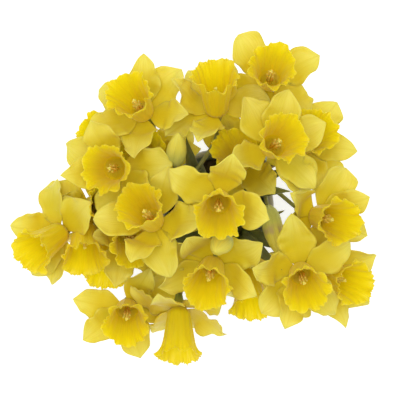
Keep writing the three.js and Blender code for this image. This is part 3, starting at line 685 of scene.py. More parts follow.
def trumpet_material():
    """Golden trumpet with fine streaks, lighter in the throat as painted light against the shade deep inside,
    and a little deeper at its frilled rim as painted shade that tones down the light the rim catches.
    """
    look = bpy.context.scene.daffodil_trumpets
    material, tree, shader = new_material(
        "golden trumpet", roughness=0.46, subsurface_weight=0.6, subsurface_radius=(1.0, 0.7, 0.08),
        subsurface_scale=0.006, sheen=0.1, sheen_roughness=0.4, specular=0.35)
    grain = grain_node(tree, fineness=60.0, length=2.0)
    # Painted light: a lighter colour deep in the throat, making up for the shade there
    past_throat_painted_light = ramp(tree, grain["Along"], low=0.0, high=0.55)
    colour = mix(tree, past_throat_painted_light, look.throat_painted_light, look.colour)
    # Painted shade: the rim is darkened a little where its edges catch the light
    near_rim = ramp(tree, grain["Along"], low=0.62, high=1.0)
    colour = mix(tree, near_rim, colour, look.rim)
    streak = ramp(tree, grain["Veins"], low=0.45, high=0.7)
    colour = mix(tree, faded(tree, streak, strength=0.3), colour, shade(look.rim, 0.82))
    feed_shader(tree, shader, colour, grain["Veins"], strength=0.4, distance=0.6 * MM)
    return material


def stamen_material():
    """Pale filaments with mealy golden anthers."""
    look = bpy.context.scene.daffodil_trumpets
    material, tree, shader = new_material(
        "pollen", roughness=0.8, subsurface_weight=0.4, subsurface_scale=0.003)
    speckle = speckle_node(tree, patches=500.0, specks=2600.0)
    colour = mix(tree, speckle["Specks"], look.pollen, look.rim)
    feed_shader(tree, shader, colour, speckle["Height"], strength=0.4, distance=0.3 * MM)
    return material


def leaf_material(name, colour, other, roughness, amount):
    """A leafy green with fine ribs along it and a bloom of paler wax."""
    material, tree, shader = new_material(
        name, roughness, subsurface_weight=0.12, subsurface_scale=0.001, specular=0.25)
    grain = grain_node(tree, fineness=22.0, length=1.2)
    wax = ramp(tree, grain["Mottle"], low=0.35, high=0.7)
    mixed = mix(tree, faded(tree, wax, amount), colour, other)
    lines = ramp(tree, grain["Veins"], low=0.4, high=0.7)
    mixed = mix(tree, faded(tree, lines, strength=0.45), mixed, shade(colour, 0.55))
    feed_shader(tree, shader, mixed, grain["Veins"], strength=0.5, distance=0.5 * MM)
    return material


def bud_material():
    """Yellow green petals wrapped tight, with a dry tan patch of the torn spathe on the oldest bud."""
    look = bpy.context.scene.daffodil_foliage
    material, tree, shader = new_material(
        "closed bud", roughness=0.5, subsurface_weight=0.2, subsurface_radius=(1.0, 0.9, 0.25),
        subsurface_scale=0.002, specular=0.4)
    grain = grain_node(tree, fineness=18.0, length=1.4)
    tip = ramp(tree, grain["Along"], low=0.3, high=0.75)
    colour = mix(tree, tip, look.bud, look.bud_tip)
    lines = ramp(tree, grain["Veins"], low=0.42, high=0.7)
    colour = mix(tree, faded(tree, lines, strength=0.3), colour, shade(look.bud, 0.7))
    under_tip = ramp(tree, grain["Along"], low=0.74, high=0.6)
    over_foot = ramp(tree, grain["Along"], low=0.42, high=0.56)
    patch = ramp(tree, grain["Mottle"], low=0.46, high=0.58)
    wear_and_painted_highlight = maths(tree, "MULTIPLY", maths(tree, "MULTIPLY", under_tip, over_foot), patch)
    oldest = maths(tree, "GREATER_THAN", grain["Own"], 0.5)
    torn = maths(tree, "MULTIPLY", wear_and_painted_highlight, oldest)
    colour = mix(tree, faded(tree, torn, strength=0.7), colour, look.paper)
    feed_shader(tree, shader, colour, grain["Veins"], strength=0.4, distance=0.5 * MM)
    return material


def stem_material():
    """Green stems with long paler streaks."""
    look = bpy.context.scene.daffodil_foliage
    material, tree, shader = new_material(
        "flower stem", roughness=0.45, subsurface_weight=0.12, subsurface_scale=0.001, specular=0.45)
    speckle = speckle_node(tree, patches=260.0, specks=900.0, stretch=0.12)
    streaks = ramp(tree, speckle["Patches"], low=0.35, high=0.7)
    colour = mix(tree, streaks, look.stem, look.sheath)
    colour = mix(tree, 0.55, colour, look.stem)
    feed_shader(tree, shader, colour, speckle["Height"], strength=0.35, distance=0.4 * MM)
    return material


def glaze_material():
    """Grey green glaze under a glossy coat, with a painted highlight of pale stony colour on the top of the
    rim.
    """
    look = bpy.context.scene.daffodil_pot
    material, tree, shader = new_material("grey green glaze", roughness=0.35, coat=0.5, coat_roughness=0.12)
    speckle = speckle_node(tree, patches=55.0, specks=1400.0)
    pooled = ramp(tree, speckle["Patches"], low=0.3, high=0.75)
    colour = mix(tree, pooled, look.glaze, shade(look.glaze, 1.35))
    place = put(tree, "ShaderNodeTexCoord").outputs["Object"]
    height = put(tree, "ShaderNodeSeparateXYZ", {0: place}).outputs[2]
    # Painted highlight: the top of the rim is turned pale and stony, as light from above makes it look
    top = ramp(tree, height, low=(POT_HEIGHT - 3.2) * MM, high=(POT_HEIGHT - 0.4) * MM)
    painted_highlight_mask = maths(tree, "MULTIPLY", top, maths(tree, "ADD", speckle["Patches"], 0.35), clamp=True)
    colour = mix(tree, painted_highlight_mask, colour, look.wear_and_painted_highlight)
    colour = mix(tree, faded(tree, speckle["Specks"], strength=0.5), colour, shade(look.glaze, 0.4))
    dulled = maths(tree, "ADD", faded(tree, speckle["Patches"], strength=0.25), 0.2)
    tree.links.new(dulled, shader.inputs["Roughness"])
    feed_shader(tree, shader, colour, speckle["Height"], strength=0.15, distance=0.6 * MM)
    return material


def soil_material():
    """Dark damp compost with paler grit."""
    look = bpy.context.scene.daffodil_pot
    material, tree, shader = new_material("potting soil", roughness=0.9, specular=0.2)
    speckle = speckle_node(tree, patches=180.0, specks=1300.0)
    dry = ramp(tree, speckle["Patches"], low=0.35, high=0.7)
    colour = mix(tree, dry, look.soil, shade(look.soil, 2.2))
    colour = mix(tree, faded(tree, speckle["Specks"], strength=0.35), colour, GRIT)
    feed_shader(tree, shader, colour, speckle["Height"], strength=0.9, distance=1.6 * MM)
    return material


def bulb_material():
    """Papery brown bulb skin, streaked from foot to nose."""
    look = bpy.context.scene.daffodil_pot
    material, tree, shader = new_material("bulb skin", roughness=0.6, specular=0.3)
    speckle = speckle_node(tree, patches=420.0, specks=900.0, stretch=0.15)
    flaked = ramp(tree, speckle["Patches"], low=0.35, high=0.7)
    colour = mix(tree, flaked, look.bulb, shade(look.bulb, 1.9))
    colour = mix(tree, faded(tree, speckle["Specks"], strength=0.4), colour, shade(look.bulb, 0.4))
    feed_shader(tree, shader, colour, speckle["Height"], strength=0.7, distance=0.8 * MM)
    return material


def shared_material(name, maker):
    """The material of that name, made the first time."""
    return bpy.data.materials.get(name) or maker()


def leafy(name, colour, wax, roughness, amount):
    """A leafy material in its own colours, made the first time."""
    return bpy.data.materials.get(name) or leaf_material(name, colour, wax, roughness, amount)


# A packed tepal: where it starts to climb and over how much of its length, how wide it is at its root, where
# it is widest and how blunt its tip is
CLIMB_START = 0.1
CLIMB_OVER = 0.3
ROOT_WIDTH = 0.16
WIDEST = 0.45
TIP_BLUNTNESS = 4.4

# A packed leaf: the angle at its foot, how late it bends, how wide it is at its foot, how blunt its tip is
# and how deep its channel is
LEAF_FOOT_ANGLE = 86
LEAF_BEND_POWER = 1.5
LEAF_FOOT_WIDTH = 0.45
LEAF_BLUNTNESS = 6
LEAF_CHANNEL = 0.25


def past(u, start, over):
    """How far u has come past a start, over a length, from 0 to 1."""
    return np.clip((u - start) / over, 0, 1)


def tepal_slope(shape, u):
    """The angle at which a tepal climbs, at a part u of its length, in radians."""
    climb = np.radians(shape["sweep"]) * past(u, CLIMB_START, CLIMB_OVER)
    return climb - np.radians(shape["curl"]) * u * u


def tepal_width(u):
    """The outline of a tepal, as a part of its width."""
    opened = np.sin(np.minimum(1, u / WIDEST) * math.pi / 2)
    return (1 - u ** TIP_BLUNTNESS) * (ROOT_WIDTH + (1 - ROOT_WIDTH) * opened)


def spine(shape, u, slope_at, steps=12):
    """How far out and up a blade has come at each part u of its length."""
    reach, height = 0.0, 0.0
    for i in range(steps):
        slope = slope_at(u * (i + 0.5) / steps)
        reach = reach + np.cos(slope) * u * shape["length"] / steps
        height = height + np.sin(slope) * u * shape["length"] / steps
    return reach, height


def bladed(outward_angle, reach, height, slope, lean, offset_across, offset_face):
    """Places on a blade that leaves an axis at an angle, in the axis's own frame."""
    turn = np.radians(outward_angle)
    outward = np.stack(np.broadcast_arrays(np.cos(turn), np.sin(turn), 0.0 * turn), -1)
    side = np.stack(np.broadcast_arrays(-np.sin(turn), np.cos(turn), 0.0 * turn), -1)
    up = np.array([0.0, 0.0, 1.0])
    sloped, leaned = np.sin(slope)[..., None], lean[..., None]
    normal = -sloped * outward + np.cos(slope)[..., None] * up
    across = np.cos(leaned) * side + np.sin(leaned) * normal
    face = np.cos(leaned) * normal - np.sin(leaned) * side
    return (outward * reach[..., None] + height[..., None] * up
            + across * offset_across[..., None] + face * offset_face[..., None])


def tepal_places(shape, u, v, lift):
    """Places on a tepal in its bloom's frame, u along it and v across it, in millimetres."""
    reach, height = spine(shape, u, lambda part: tepal_slope(shape, part))
    slope = tepal_slope(shape, u)
    half = shape["width"] * tepal_width(u) / 2
    rise = shape["cup"] * v * v * half * past(u, CLIMB_START, CLIMB_OVER)
    lean = np.radians(shape["twist"]) * np.maximum(0, u - CLIMB_START) + 0 * slope
    turn = shape["turn"] + 0 * slope
    return bladed(turn, reach + TEPAL_ROOT, height + shape["base"], slope, lean, v * half, rise + lift)


def leaf_slope(shape, u):
    """The angle at which a leaf climbs, at a part u of its length, in radians."""
    return np.radians(LEAF_FOOT_ANGLE - shape["lean"] * u ** LEAF_BEND_POWER)


def leaf_places(shape, u, v, lift):
    """Places on a leaf in the part's frame, less its foot, in millimetres."""
    reach, height = spine(shape, u, lambda part: leaf_slope(shape, part))
    slope = leaf_slope(shape, u)
    opened = LEAF_FOOT_WIDTH + (1 - LEAF_FOOT_WIDTH) * np.sin(u * math.pi)
    half = shape["width"] * opened * (1 - u ** LEAF_BLUNTNESS) / 2
    rise = LEAF_CHANNEL * v * v * half
    lean = np.radians(shape["twist"]) * u + 0 * slope
    turn = shape["turn"] + 0 * slope
    return bladed(turn, reach, height, slope, lean, v * half, rise + lift)


def rib_groove(u, v, depth, width, fade):
    """How far a blade is pressed in along its rib, less and less towards its tip."""
    return -depth * np.exp(-((v / width) ** 2)) * (1 - fade * u)


def mixes(**values):
    """Every mix of the given offsets, each as a column."""
    grids = np.meshgrid(*values.values(), indexing="ij")
    return {key: grid.reshape(-1, 1).astype(float) for key, grid in zip(values, grids)}


def nearest(points, corners):
    """How far each point lies from the nearest corner."""
    gaps = np.linalg.norm(points[..., None, :] - corners, axis=-1)
    return gaps.min(-1)


def probes(stations, thickness):
    """Corners that a packed blade has: its tip, then its margins and rib at each station, on both faces."""
    rows = [(1.0, 0.0, side) for side in (0.5, -0.5)]
    rows += [(u, v, side) for u in stations for v in (-1, 0, 1) for side in (0.5, -0.5)]
    u, v, side = np.array(rows).T
    return u, v, side * thickness


def settled(shape, tries, places, corners, stations, thickness):
    """The bend that a packed blade took, or None where it was left out: its corners are the node's own."""
    u, v, lift = probes(stations, thickness)
    bent = {key: shape[key] + 0 * tries["turn"] for key in shape}
    for key in ("sweep", "turn", "curl", "lean"):
        if key in tries:
            bent[key] = bent[key] + tries[key]
    bent["length"] = bent["length"] * tries["size"]
    if "sweep" in tries:
        bent["width"] = bent["width"] * np.sqrt(tries["size"])
    tips = nearest(places(bent, u[:2], v[:2], lift[:2]), corners).min(1)
    near = np.flatnonzero(tips < MATCH_SLACK)
    if not len(near):
        return None
    few = {key: value[near] for key, value in bent.items()}
    gaps = np.median(nearest(places(few, u, v, lift), corners), axis=1)
    best = int(gaps.argmin())
    if gaps[best] > MATCH_SLACK:
        return None
    return {key: float(value[best, 0]) for key, value in few.items()}


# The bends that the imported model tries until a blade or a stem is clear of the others, in degrees, parts of
# a length and millimetres
TEPAL_TRIES = mixes(
    sweep=range(-48, 41, 8), turn=range(-32, 33, 8), curl=(-30, 0, 30), size=(1, 0.85, 0.7, 0.55))
LEAF_TRIES = mixes(turn=range(-40, 41, 10), lean=range(-20, 31, 10), size=(1, 0.85, 0.7))
STEM_TRIES = [
    (east, north, rise, bow)
    for east in range(-18, 19, 6) for north in range(-18, 19, 6)
    for rise in (-16, -8, 0, 8) for bow in (-8, -4, 0, 4, 8)
]


def node_corners(name):
    """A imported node's corners in millimetres."""
    return np.unique(np.round(corners_of(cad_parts[name].data) / MM, 4), axis=0)


# Widths of the inner and outer tepals by the width of the settings, and the spread of their twist in degrees
INNER_WIDTH = 0.92
OUTER_WIDTH = 1.04
TEPAL_TWIST = 30


def tepal_shapes(index, bloom):
    """The tepals of a bloom as they settled, each with a seed of its own."""
    name, at, azimuth, lift, turns, sweeps = bloom
    sizes = bpy.context.scene.daffodil_tepals
    matrix = head_matrix(at, azimuth, lift)
    corners = carried(matrix.inverted(), node_corners("perianth_" + name))
    number = draws(seed_of("tepal bends", index))
    found = []
    for i, (turn, sweep) in enumerate(zip(turns, sweeps)):
        inner = i % 2
        shape = {
            "base": WHORL_BASE if inner else WHORL_BASE - WHORL_STEP,
            "turn": turn - azimuth - 90,
            "sweep": sweep,
            "length": sizes.length / MM * drawn(number, low=0.95, spread=0.1),
            "width": sizes.width / MM * (INNER_WIDTH if inner else OUTER_WIDTH),
            "curl": drawn(number, low=15, spread=25),
            "twist": TEPAL_TWIST * (next(number) - 0.5),
            "cup": drawn(number, low=0.12, spread=0.16),
        }
        bent = settled(shape, TEPAL_TRIES, tepal_places, corners, TEPAL_STATIONS, PACKED_TEPAL)
        if bent:
            found.append((bent, seed_of("tepal margins", index, i)))
    return matrix, found


# The fine form of a tepal, in millimetres and parts of its length and half width: its margin's waves by
# depth, fewest and most, how soon they die out inwards, its swell, its flutes, buckles and hooked point
MARGIN_WAVES = ((1.0, 0.9, 2.2), (0.4, 3.2, 5.4))
WAVES_INWARD = 1.7
MARGIN_SWELL = 0.11
FULLEST_TIP = 1.7
FLUTE_DEPTH = 0.12
FLUTES = 15
BUCKLES_ALONG = 5.5
BUCKLES_ACROSS = 2.4
HOOK_DEPTH = 2.2
PHASE_SPREAD = 6.3


def tepal_margin(number, u, v, ease):
    """How full and how waved a tepal is from its rib to its margins: places across it, and lifts."""
    sizes = bpy.context.scene.daffodil_tepals
    waves = 0.0 * u
    pinch = 0.1 + 0.4 * next(number) ** 2
    bluntness = 3.4 + 4 * next(number) ** 2
    rounder = (1 - u ** bluntness) / np.maximum(1 - u ** TIP_BLUNTNESS, 0.001)
    edge = v * np.minimum(rounder, FULLEST_TIP) * (1 - pinch * past(u, start=0.8, over=0.2))
    for side in (-1, 1):
        share = np.clip(side * v, 0, 1) ** WAVES_INWARD
        for size, fewest, most in MARGIN_WAVES:
            depth = size * sizes.ruffle / MM * drawn(number, low=0.3, spread=0.9)
            count = drawn(number, fewest, most - fewest)
            waves = waves + depth * share * np.sin(2 * math.pi * (count * u + next(number)))
        swells = drawn(number, low=1.1, spread=1.4)
        swell = MARGIN_SWELL * np.sin(2 * math.pi * swells * u + PHASE_SPREAD * next(number))
        edge = edge * (1 + (side * v > 0) * swell * ease)
    return edge, waves


def tepal_surface(shape, seed, u, v):
    """Places on the fine face of a tepal: a waved, uneven margin, a keel, buckles and a hooked point."""
    sizes = bpy.context.scene.daffodil_tepals
    number = draws(seed)
    full = dict(shape, width=shape["width"] * sizes.fullness)
    ease = past(u, start=0.15, over=0.35)
    calm = ease * (1 - past(u, start=0.72, over=0.28) ** 2)
    edge, waves = tepal_margin(number, u, v, ease)
    keel = rib_groove(u, v, depth=0.45, width=0.14, fade=0.6)
    flute = FLUTE_DEPTH * np.cos(v * FLUTES + 3 * next(number)) * (1 - v * v)
    along = np.sin(BUCKLES_ALONG * u + PHASE_SPREAD * next(number))
    buckle = sizes.buckle / MM * along * np.cos(BUCKLES_ACROSS * v + PHASE_SPREAD * next(number))
    hook = -HOOK_DEPTH * past(u, start=0.84, over=0.16) ** 2 * next(number)
    return tepal_places(full, u, edge, (waves + keel + flute + buckle) * calm + hook)


# Blanks of the tube and the tepals, how late the tube flares, how far its three lobes stand out, how far it
# reaches into the trumpet, how far down it the petals' grain runs on, and how many tints tepals have
TUBE_RINGS = 7
TUBE_SIDES = 24
TEPAL_ACROSS = 12
TEPAL_ALONG = 22
TUBE_FLARE = 1.3
TUBE_RELIEF = 0.03
TUBE_INSIDE = 1
TUBE_GRAIN = 0.4
TEPAL_TINTS = 97


def tube_profile(angle, level):
    """The floral tube: a slim green foot that flares into the perianth."""
    part = np.minimum(level / TUBE_RINGS, 1)
    radius = TUBE_FOOT + (TUBE_TOP - TUBE_FOOT) * part ** TUBE_FLARE
    return radius * (1 + TUBE_RELIEF * np.cos(3 * angle)), -TUBE_LENGTH + (TUBE_LENGTH + TUBE_INSIDE) * part


class DAFFODIL_OT_perianths(bpy.types.Operator):
    """Makes the six tepals and the floral tube of every bloom."""

    bl_idname = "daffodil.perianths"
    bl_label = "Perianths"

    def execute(self, context):
        sizes = context.scene.daffodil_tepals
        material = shared_material("lemon petal", tepal_material)
        blade = grid_blank("tepal blank", TEPAL_ACROSS, TEPAL_ALONG)
        flat = corners_of(blade.data)
        v, u = flat[:, 0], flat[:, 1]
        tube = turned_blank("tube blank", TUBE_SIDES, TUBE_RINGS, True)
        for index, bloom in enumerate(BLOOMS):
            matrix, shapes = tepal_shapes(index, bloom)
            if len(shapes) < FEWEST_TEPALS:
                raise RuntimeError("bloom %s shows only %d of its tepals" % (bloom[0], len(shapes)))
            petals = []
            for shape, seed in shapes:
                petal = copy_of(blade, "petal")
                set_corners(petal.data, carried(matrix, tepal_surface(shape, seed, u, v)) * MM)
                mark_grain(petal.data, v, u, (seed % TEPAL_TINTS) / TEPAL_TINTS)
                petals.append(petal)
            whorl = join(petals, "petals")
            face_outwards(whorl, merge=MERGE)
            thicken(whorl, sizes.thickness, 0)
            flared, angle, level = turned(tube, "tube", tube_profile)
            stand(flared, matrix)
            part = np.minimum(level / TUBE_RINGS, 1)
            mark_grain(flared.data, np.sin(3 * angle), -TUBE_GRAIN * (1 - part), index / len(BLOOMS))
            face_outwards(flared)
            piece = join([whorl, flared], "tepals_" + bloom[0])
            hand_over(piece, material, "tepal", "perianth_" + bloom[0])
        bpy.data.objects.remove(blade)
        bpy.data.objects.remove(tube)
        return {"FINISHED"}


# Trumpets: their blank, how the rings crowd towards the rim, how far the wall widens evenly before its
# mouth flares, the long ridges, and how far folds, lobes and teeth move the rim and how close to it
TRUMPET_SIDES = 200
TRUMPET_RINGS = 17
RING_CROWDING = 1.3
EVEN_FLARE = 4.4
FLARE_POWER = 5
RIDGES = 12
RIDGE_HEIGHT = 0.25
RIDGE_END = 1.1
TRUMPET_FOLDS = 10
FOLD_OUT = 0.6
FOLD_DOWN = 0.4
FOLD_POWER = 6
CRIMP_DOWN = 0.3
CRIMP_POWER = 7
TOOTH_MIDDLE = 0.7
TOOTH_POWER = 10
TOOTH_OUT = 0.8
TOOTH_OUT_POWER = 18

# A rim's teeth: how many of each size go round, and waves by height and number that crowd them together,
# lean their lobes out or in, and make them uneven
COARSE_TEETH = 9
MIDDLING_TEETH = 22
FINE_TEETH = 46
TOOTH_SWAY = ((0.2, 2), (0.09, 5))
TOOTH_SIZE = ((0.25, 3),)
RIM_LOBES = ((0.42, 5), (0.3, 9), (0.28, 17))


def waves_round(table, turn, phases, start=0.0):
    """A sum of waves round a turn, each by its height, number and phase."""
    waves = start
    for (height, count), phase in zip(table, phases):
        waves = waves + height * np.sin(count * turn + phase)
    return waves


def fold_at(angle, index):
    """How far the rim folds out or in at an angle, smooth between the folds, which are uneven."""
    number = draws(seed_of("rim folds", index))
    phase = next(number) * math.pi
    count = 2 * TRUMPET_FOLDS
    folds = np.array([(-1 if i % 2 else 1) * drawn(number, low=0.6, spread=0.7) for i in range(count)])
    place = ((angle - phase) / (2 * math.pi) * count) % count
    low = np.floor(place).astype(int) % count
    share = place - np.floor(place)
    share = share * share * (3 - 2 * share)
    return folds[low] * (1 - share) + folds[(low + 1) % count] * share


def teeth_at(angle, index):
    """The uneven teeth of a rim, from 0 to 1, and how its lobes lean out or in, from -1 to 1."""
    number = draws(seed_of("rim teeth", index))
    phases = [2 * math.pi * next(number) for _ in range(9)]
    swing = waves_round(TOOTH_SWAY, angle, phases[:2], start=angle)
    coarse = np.abs(np.sin(COARSE_TEETH / 2 * swing + phases[2])) ** 0.45
    middling = 1 - np.abs(np.sin(MIDDLING_TEETH / 2 * swing + phases[3])) ** 0.7
    fine = 1 - np.abs(np.sin(FINE_TEETH / 2 * swing + phases[4]))
    size = waves_round(TOOTH_SIZE, angle, phases[5:6], start=0.75)
    lobes = waves_round(RIM_LOBES, swing, phases[6:])
    return (0.48 * coarse + 0.3 * middling + 0.22 * fine) * size, lobes


def trumpet_shape(index):
    """The outside of a bloom's trumpet by angle and ring."""
    sizes = bpy.context.scene.daffodil_trumpets
    foot, mouth, length = sizes.foot / MM, sizes.mouth / MM, sizes.length / MM
    frill, crimp, tooth = sizes.frill / MM, sizes.crimp / MM, sizes.teeth / MM

    def shape(angle, level):
        part = 1 - (1 - level / TRUMPET_RINGS) ** RING_CROWDING
        fold = fold_at(angle, index) * part ** FOLD_POWER
        teeth, lobes = teeth_at(angle, index)
        flare = mouth - foot - EVEN_FLARE
        ridges = RIDGE_HEIGHT * np.cos(RIDGES * angle + index)
        ridges = ridges * np.sin(math.pi * np.minimum(part * RIDGE_END, 1))
        radius = foot + EVEN_FLARE * part + flare * part ** FLARE_POWER + FOLD_OUT * frill * fold + ridges
        radius = radius + crimp * lobes * part ** CRIMP_POWER + TOOTH_OUT * teeth * part ** TOOTH_OUT_POWER
        height = TRUMPET_SEAT + (length - TRUMPET_SEAT) * part - FOLD_DOWN * frill * fold
        height = height - CRIMP_DOWN * crimp * lobes * part ** FOLD_POWER
        height = height + tooth * (teeth - TOOTH_MIDDLE) * part ** TOOTH_POWER
        return radius, height

    return shape


class DAFFODIL_OT_trumpets(bpy.types.Operator):
    """Makes the frilled trumpet of every bloom."""

    bl_idname = "daffodil.trumpets"
    bl_label = "Trumpets"

    def execute(self, context):
        sizes = context.scene.daffodil_trumpets
        material = shared_material("golden trumpet", trumpet_material)
        blank = turned_blank("trumpet blank", TRUMPET_SIDES, TRUMPET_RINGS, False)
        for index, (name, at, azimuth, lift, _, _) in enumerate(BLOOMS):
            trumpet, angle, level = turned(blank, "trumpet_" + name, trumpet_shape(index))
            stand(trumpet, head_matrix(at, azimuth, lift))
            mark_grain(trumpet.data, np.abs(angle) / math.pi, level / TRUMPET_RINGS, index / len(BLOOMS))
            face_outwards(trumpet)
            thicken(trumpet, sizes.wall, -1)
            trumpet.data.name = trumpet.name
            hand_over(trumpet, material, "corona", "corona_" + name)
        bpy.data.objects.remove(blank)
        return {"FINISHED"}


# Stamens and style in millimetres, in a bloom's frame
STAMENS = 6
STAMEN_TOP = 16.5
STAMEN_SPREAD = 2.6
FILAMENT_SPREAD = 0.75 * STAMEN_SPREAD
FILAMENT_RADII = (0.5, 0.3)
ANTHER_LENGTH = 5
ANTHER_RADIUS = 0.62
ANTHER_DROP = 1.5
STYLE_TOP = 21.6
STYLE_RADII = (0.65, 0.45)
STIGMA_LOBES = 3
STIGMA_SPREAD = 0.7
STIGMA_SIZE = (0.75, 0.75, 0.5)


def rod(sides, foot, tip, x, y, top):
    """A slim tapered rod from the trumpet's seat to a height."""
    deselect()
    bpy.ops.mesh.primitive_cone_add(
        vertices=sides, radius1=foot, radius2=tip, depth=top - TRUMPET_SEAT,
        location=(x, y, (top + TRUMPET_SEAT) / 2))
    return bpy.context.object


def bead(x, y, z, scale):
    """A small rounded form: an anther or a lobe of the stigma."""
    deselect()
    bpy.ops.mesh.primitive_uv_sphere_add(
        segments=8, ring_count=6, radius=1, location=(x, y, z), scale=scale)
    return bpy.context.object


def stamen_cluster():
    """Six filaments with their anthers round a style with a three-lobed stigma, in a bloom's frame."""
    parts = []
    anther = (ANTHER_RADIUS, ANTHER_RADIUS, ANTHER_LENGTH / 2)
    for i in range(STAMENS):
        x, y = math.cos(2 * math.pi * i / STAMENS), math.sin(2 * math.pi * i / STAMENS)
        parts.append(rod(6, *FILAMENT_RADII, FILAMENT_SPREAD * x, FILAMENT_SPREAD * y, STAMEN_TOP))
        parts.append(bead(STAMEN_SPREAD * x, STAMEN_SPREAD * y, STAMEN_TOP - ANTHER_DROP, anther))
    parts.append(rod(8, *STYLE_RADII, 0, 0, STYLE_TOP))
    for i in range(STIGMA_LOBES):
        x, y = math.cos(2 * math.pi * i / STIGMA_LOBES), math.sin(2 * math.pi * i / STIGMA_LOBES)
        parts.append(bead(STIGMA_SPREAD * x, STIGMA_SPREAD * y, STYLE_TOP, STIGMA_SIZE))
    choose(*parts)
    bpy.ops.object.transform_apply(location=True, rotation=True, scale=True)
    return join(parts, "stamen blank")


class DAFFODIL_OT_stamens(bpy.types.Operator):
    """Makes the stamens and style of every bloom."""

    bl_idname = "daffodil.stamens"
    bl_label = "Stamens"

    def execute(self, context):
        material = shared_material("pollen", stamen_material)
        blank = stamen_cluster()
        for name, at, azimuth, lift, _, _ in BLOOMS:
            piece = copy_of(blank, "stamens_" + name)
            piece.data.name = piece.name
            stand(piece, head_matrix(at, azimuth, lift))
            hand_over(piece, material, "corona", "corona_" + name)
        bpy.data.objects.remove(blank)
        return {"FINISHED"}


# Buds: their blank, their outline by height, how far the tip closes past the last ring, and how the wrapped
# tepals turn, stand out and leave grooves
BUD_SIDES = 36
BUD_RINGS = 20
BUD_OUTLINE = (
    (0, 0.06, 0.12, 0.25, 0.42, 0.6, 0.75, 0.86, 0.93, 1),
    (0.17, 0.31, 0.41, 0.485, 0.505, 0.455, 0.355, 0.24, 0.14, 0),
)
BUD_TIP = 0.6
BUD_WRAPS = 3
WRAP_TURN = 1.1
WRAP_RELIEF = 0.03
GROOVE_DEPTH = 0.09
GROOVE_POWER = 6


def bud_shape(length, width):
    """The outside of a closed bud by angle and ring."""
    end = BUD_RINGS + BUD_TIP

    def shape(angle, level):
        part = np.minimum(level, end) / end
        wrap = np.cos(BUD_WRAPS * (angle - WRAP_TURN * part))
        groove = -GROOVE_DEPTH * np.clip(-wrap, 0, 1) ** GROOVE_POWER
        return width * np.interp(part, *BUD_OUTLINE) * (1 + WRAP_RELIEF * wrap + groove), length * part

    return shape


class DAFFODIL_OT_buds(bpy.types.Operator):
    """Makes the closed buds, their tepals wrapped in a slight spiral."""

    bl_idname = "daffodil.buds"
    bl_label = "Buds"

    def execute(self, context):
        material = shared_material("closed bud", bud_material)
        blank = turned_blank("bud blank", BUD_SIDES, BUD_RINGS, True)
        for index, (name, at, azimuth, lift, length, width) in enumerate(BUDS):
            bud, angle, level = turned(blank, "closed_" + name, bud_shape(length, width))
            stand(bud, head_matrix(at, azimuth, lift))
            mark_grain(bud.data, np.abs(angle) / math.pi * 1.5, level / BUD_RINGS, index / len(BUDS))
            face_outwards(bud)
            bud.data.name = bud.name
            hand_over(bud, material, "bud", name)
        bpy.data.objects.remove(blank)
        return {"FINISHED"}


# Flower stems: the turn of the first on its bulb in radians, how much slimmer the stem of a lone bloom is
# and how far it rises and arrives straight in millimetres, how a forked one leans, climbs and arrives in
# parts of its reach, and how its stalks rise and arrive in parts of their length
STEM_START_TURN = 0.6
LONE_STEM_SLIMMER = 0.2
LONE_STEM_RISE = 40
LONE_STEM_ARRIVAL = 28
STEM_LEAN = 0.25
STEM_CLIMB = 0.45
STEM_ARRIVAL = 0.7
STALK_RISE = 0.35
STALK_ARRIVAL = 0.4

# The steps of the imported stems, and the steps, roundness and taper of the fine ones
LONE_STEM_STEPS = 6
STEM_STEPS = 4
STALK_STEPS = 3
CURVE_STEPS = 20
CURVE_BEVEL = 3
STEM_TAPER = 0.95


def head_of(name):
    """Where a bloom's or bud's stalk ends, the way it faces there, and whether an ovary stands on it."""
    bloom_depth = TUBE_LENGTH + SEAT_GAP + OVARY_LENGTH
    for heads, depth, swells in ((BLOOMS, bloom_depth, True), (BUDS, SEAT_GAP, False)):
        for head, at, azimuth, lift, _, _ in heads:
            if head == name:
                matrix = head_matrix(at, azimuth, lift)
                return matrix @ Vector((0, 0, -depth)), matrix.to_3x3() @ Vector((0, 0, 1)), swells
    raise RuntimeError("no bloom or bud is called " + name)


def umbel_paths(start, names, bend):
    """The curves of a flower stem and its stalks, each as four points, a radius and its packed steps."""
    east, north, lift, bow = bend
    sizes = bpy.context.scene.daffodil_foliage
    scape, pedicel = sizes.scape / MM, sizes.pedicel / MM
    bowed = Vector((east, north, 0))
    heads = [head_of(name) for name in names]
    if len(names) == 1:
        foot, facing, _ = heads[0]
        path = (start, start + Vector((0, 0, LONE_STEM_RISE)) + bowed,
                foot - facing * LONE_STEM_ARRIVAL + bowed, foot)
        return [(path, scape - LONE_STEM_SLIMMER, LONE_STEM_STEPS)], None
    mean = sum((foot for foot, _, _ in heads), Vector()) / len(heads)
    level = max(min(foot.z for foot, _, _ in heads) - FORK_DROP + lift, NECK_TOP + FORK_CLEAR)
    fork = Vector((mean.x * FORK_INWARD, mean.y * FORK_INWARD, level)) + bowed
    away = (fork - start) * STEM_LEAN
    away.z = 0
    climb = (fork.z - start.z) * STEM_CLIMB
    path = (start, start + Vector((0, 0, climb)), fork - away - Vector((0, 0, climb * STEM_ARRIVAL)), fork)
    heading = (away + Vector((0, 0, climb))).normalized()
    curves = [(path, scape, STEM_STEPS)]
    for i, (foot, facing, _) in enumerate(heads):
        gap = (foot - fork).length
        aside = heading.cross(facing).normalized() * ((1 if i else -1) * bow)
        path = (fork - heading * FORK_SUNK, fork + heading * gap * STALK_RISE + aside,
                foot - facing * gap * STALK_ARRIVAL + aside, foot)
        curves.append((path, pedicel, STALK_STEPS))
    return curves, (fork, heading)


def on_curve(path, part):
    """A place on a cubic curve."""
    a, b, c, d = path
    rest = 1 - part
    return a * rest ** 3 + b * (3 * rest * rest * part) + c * (3 * rest * part * part) + d * part ** 3


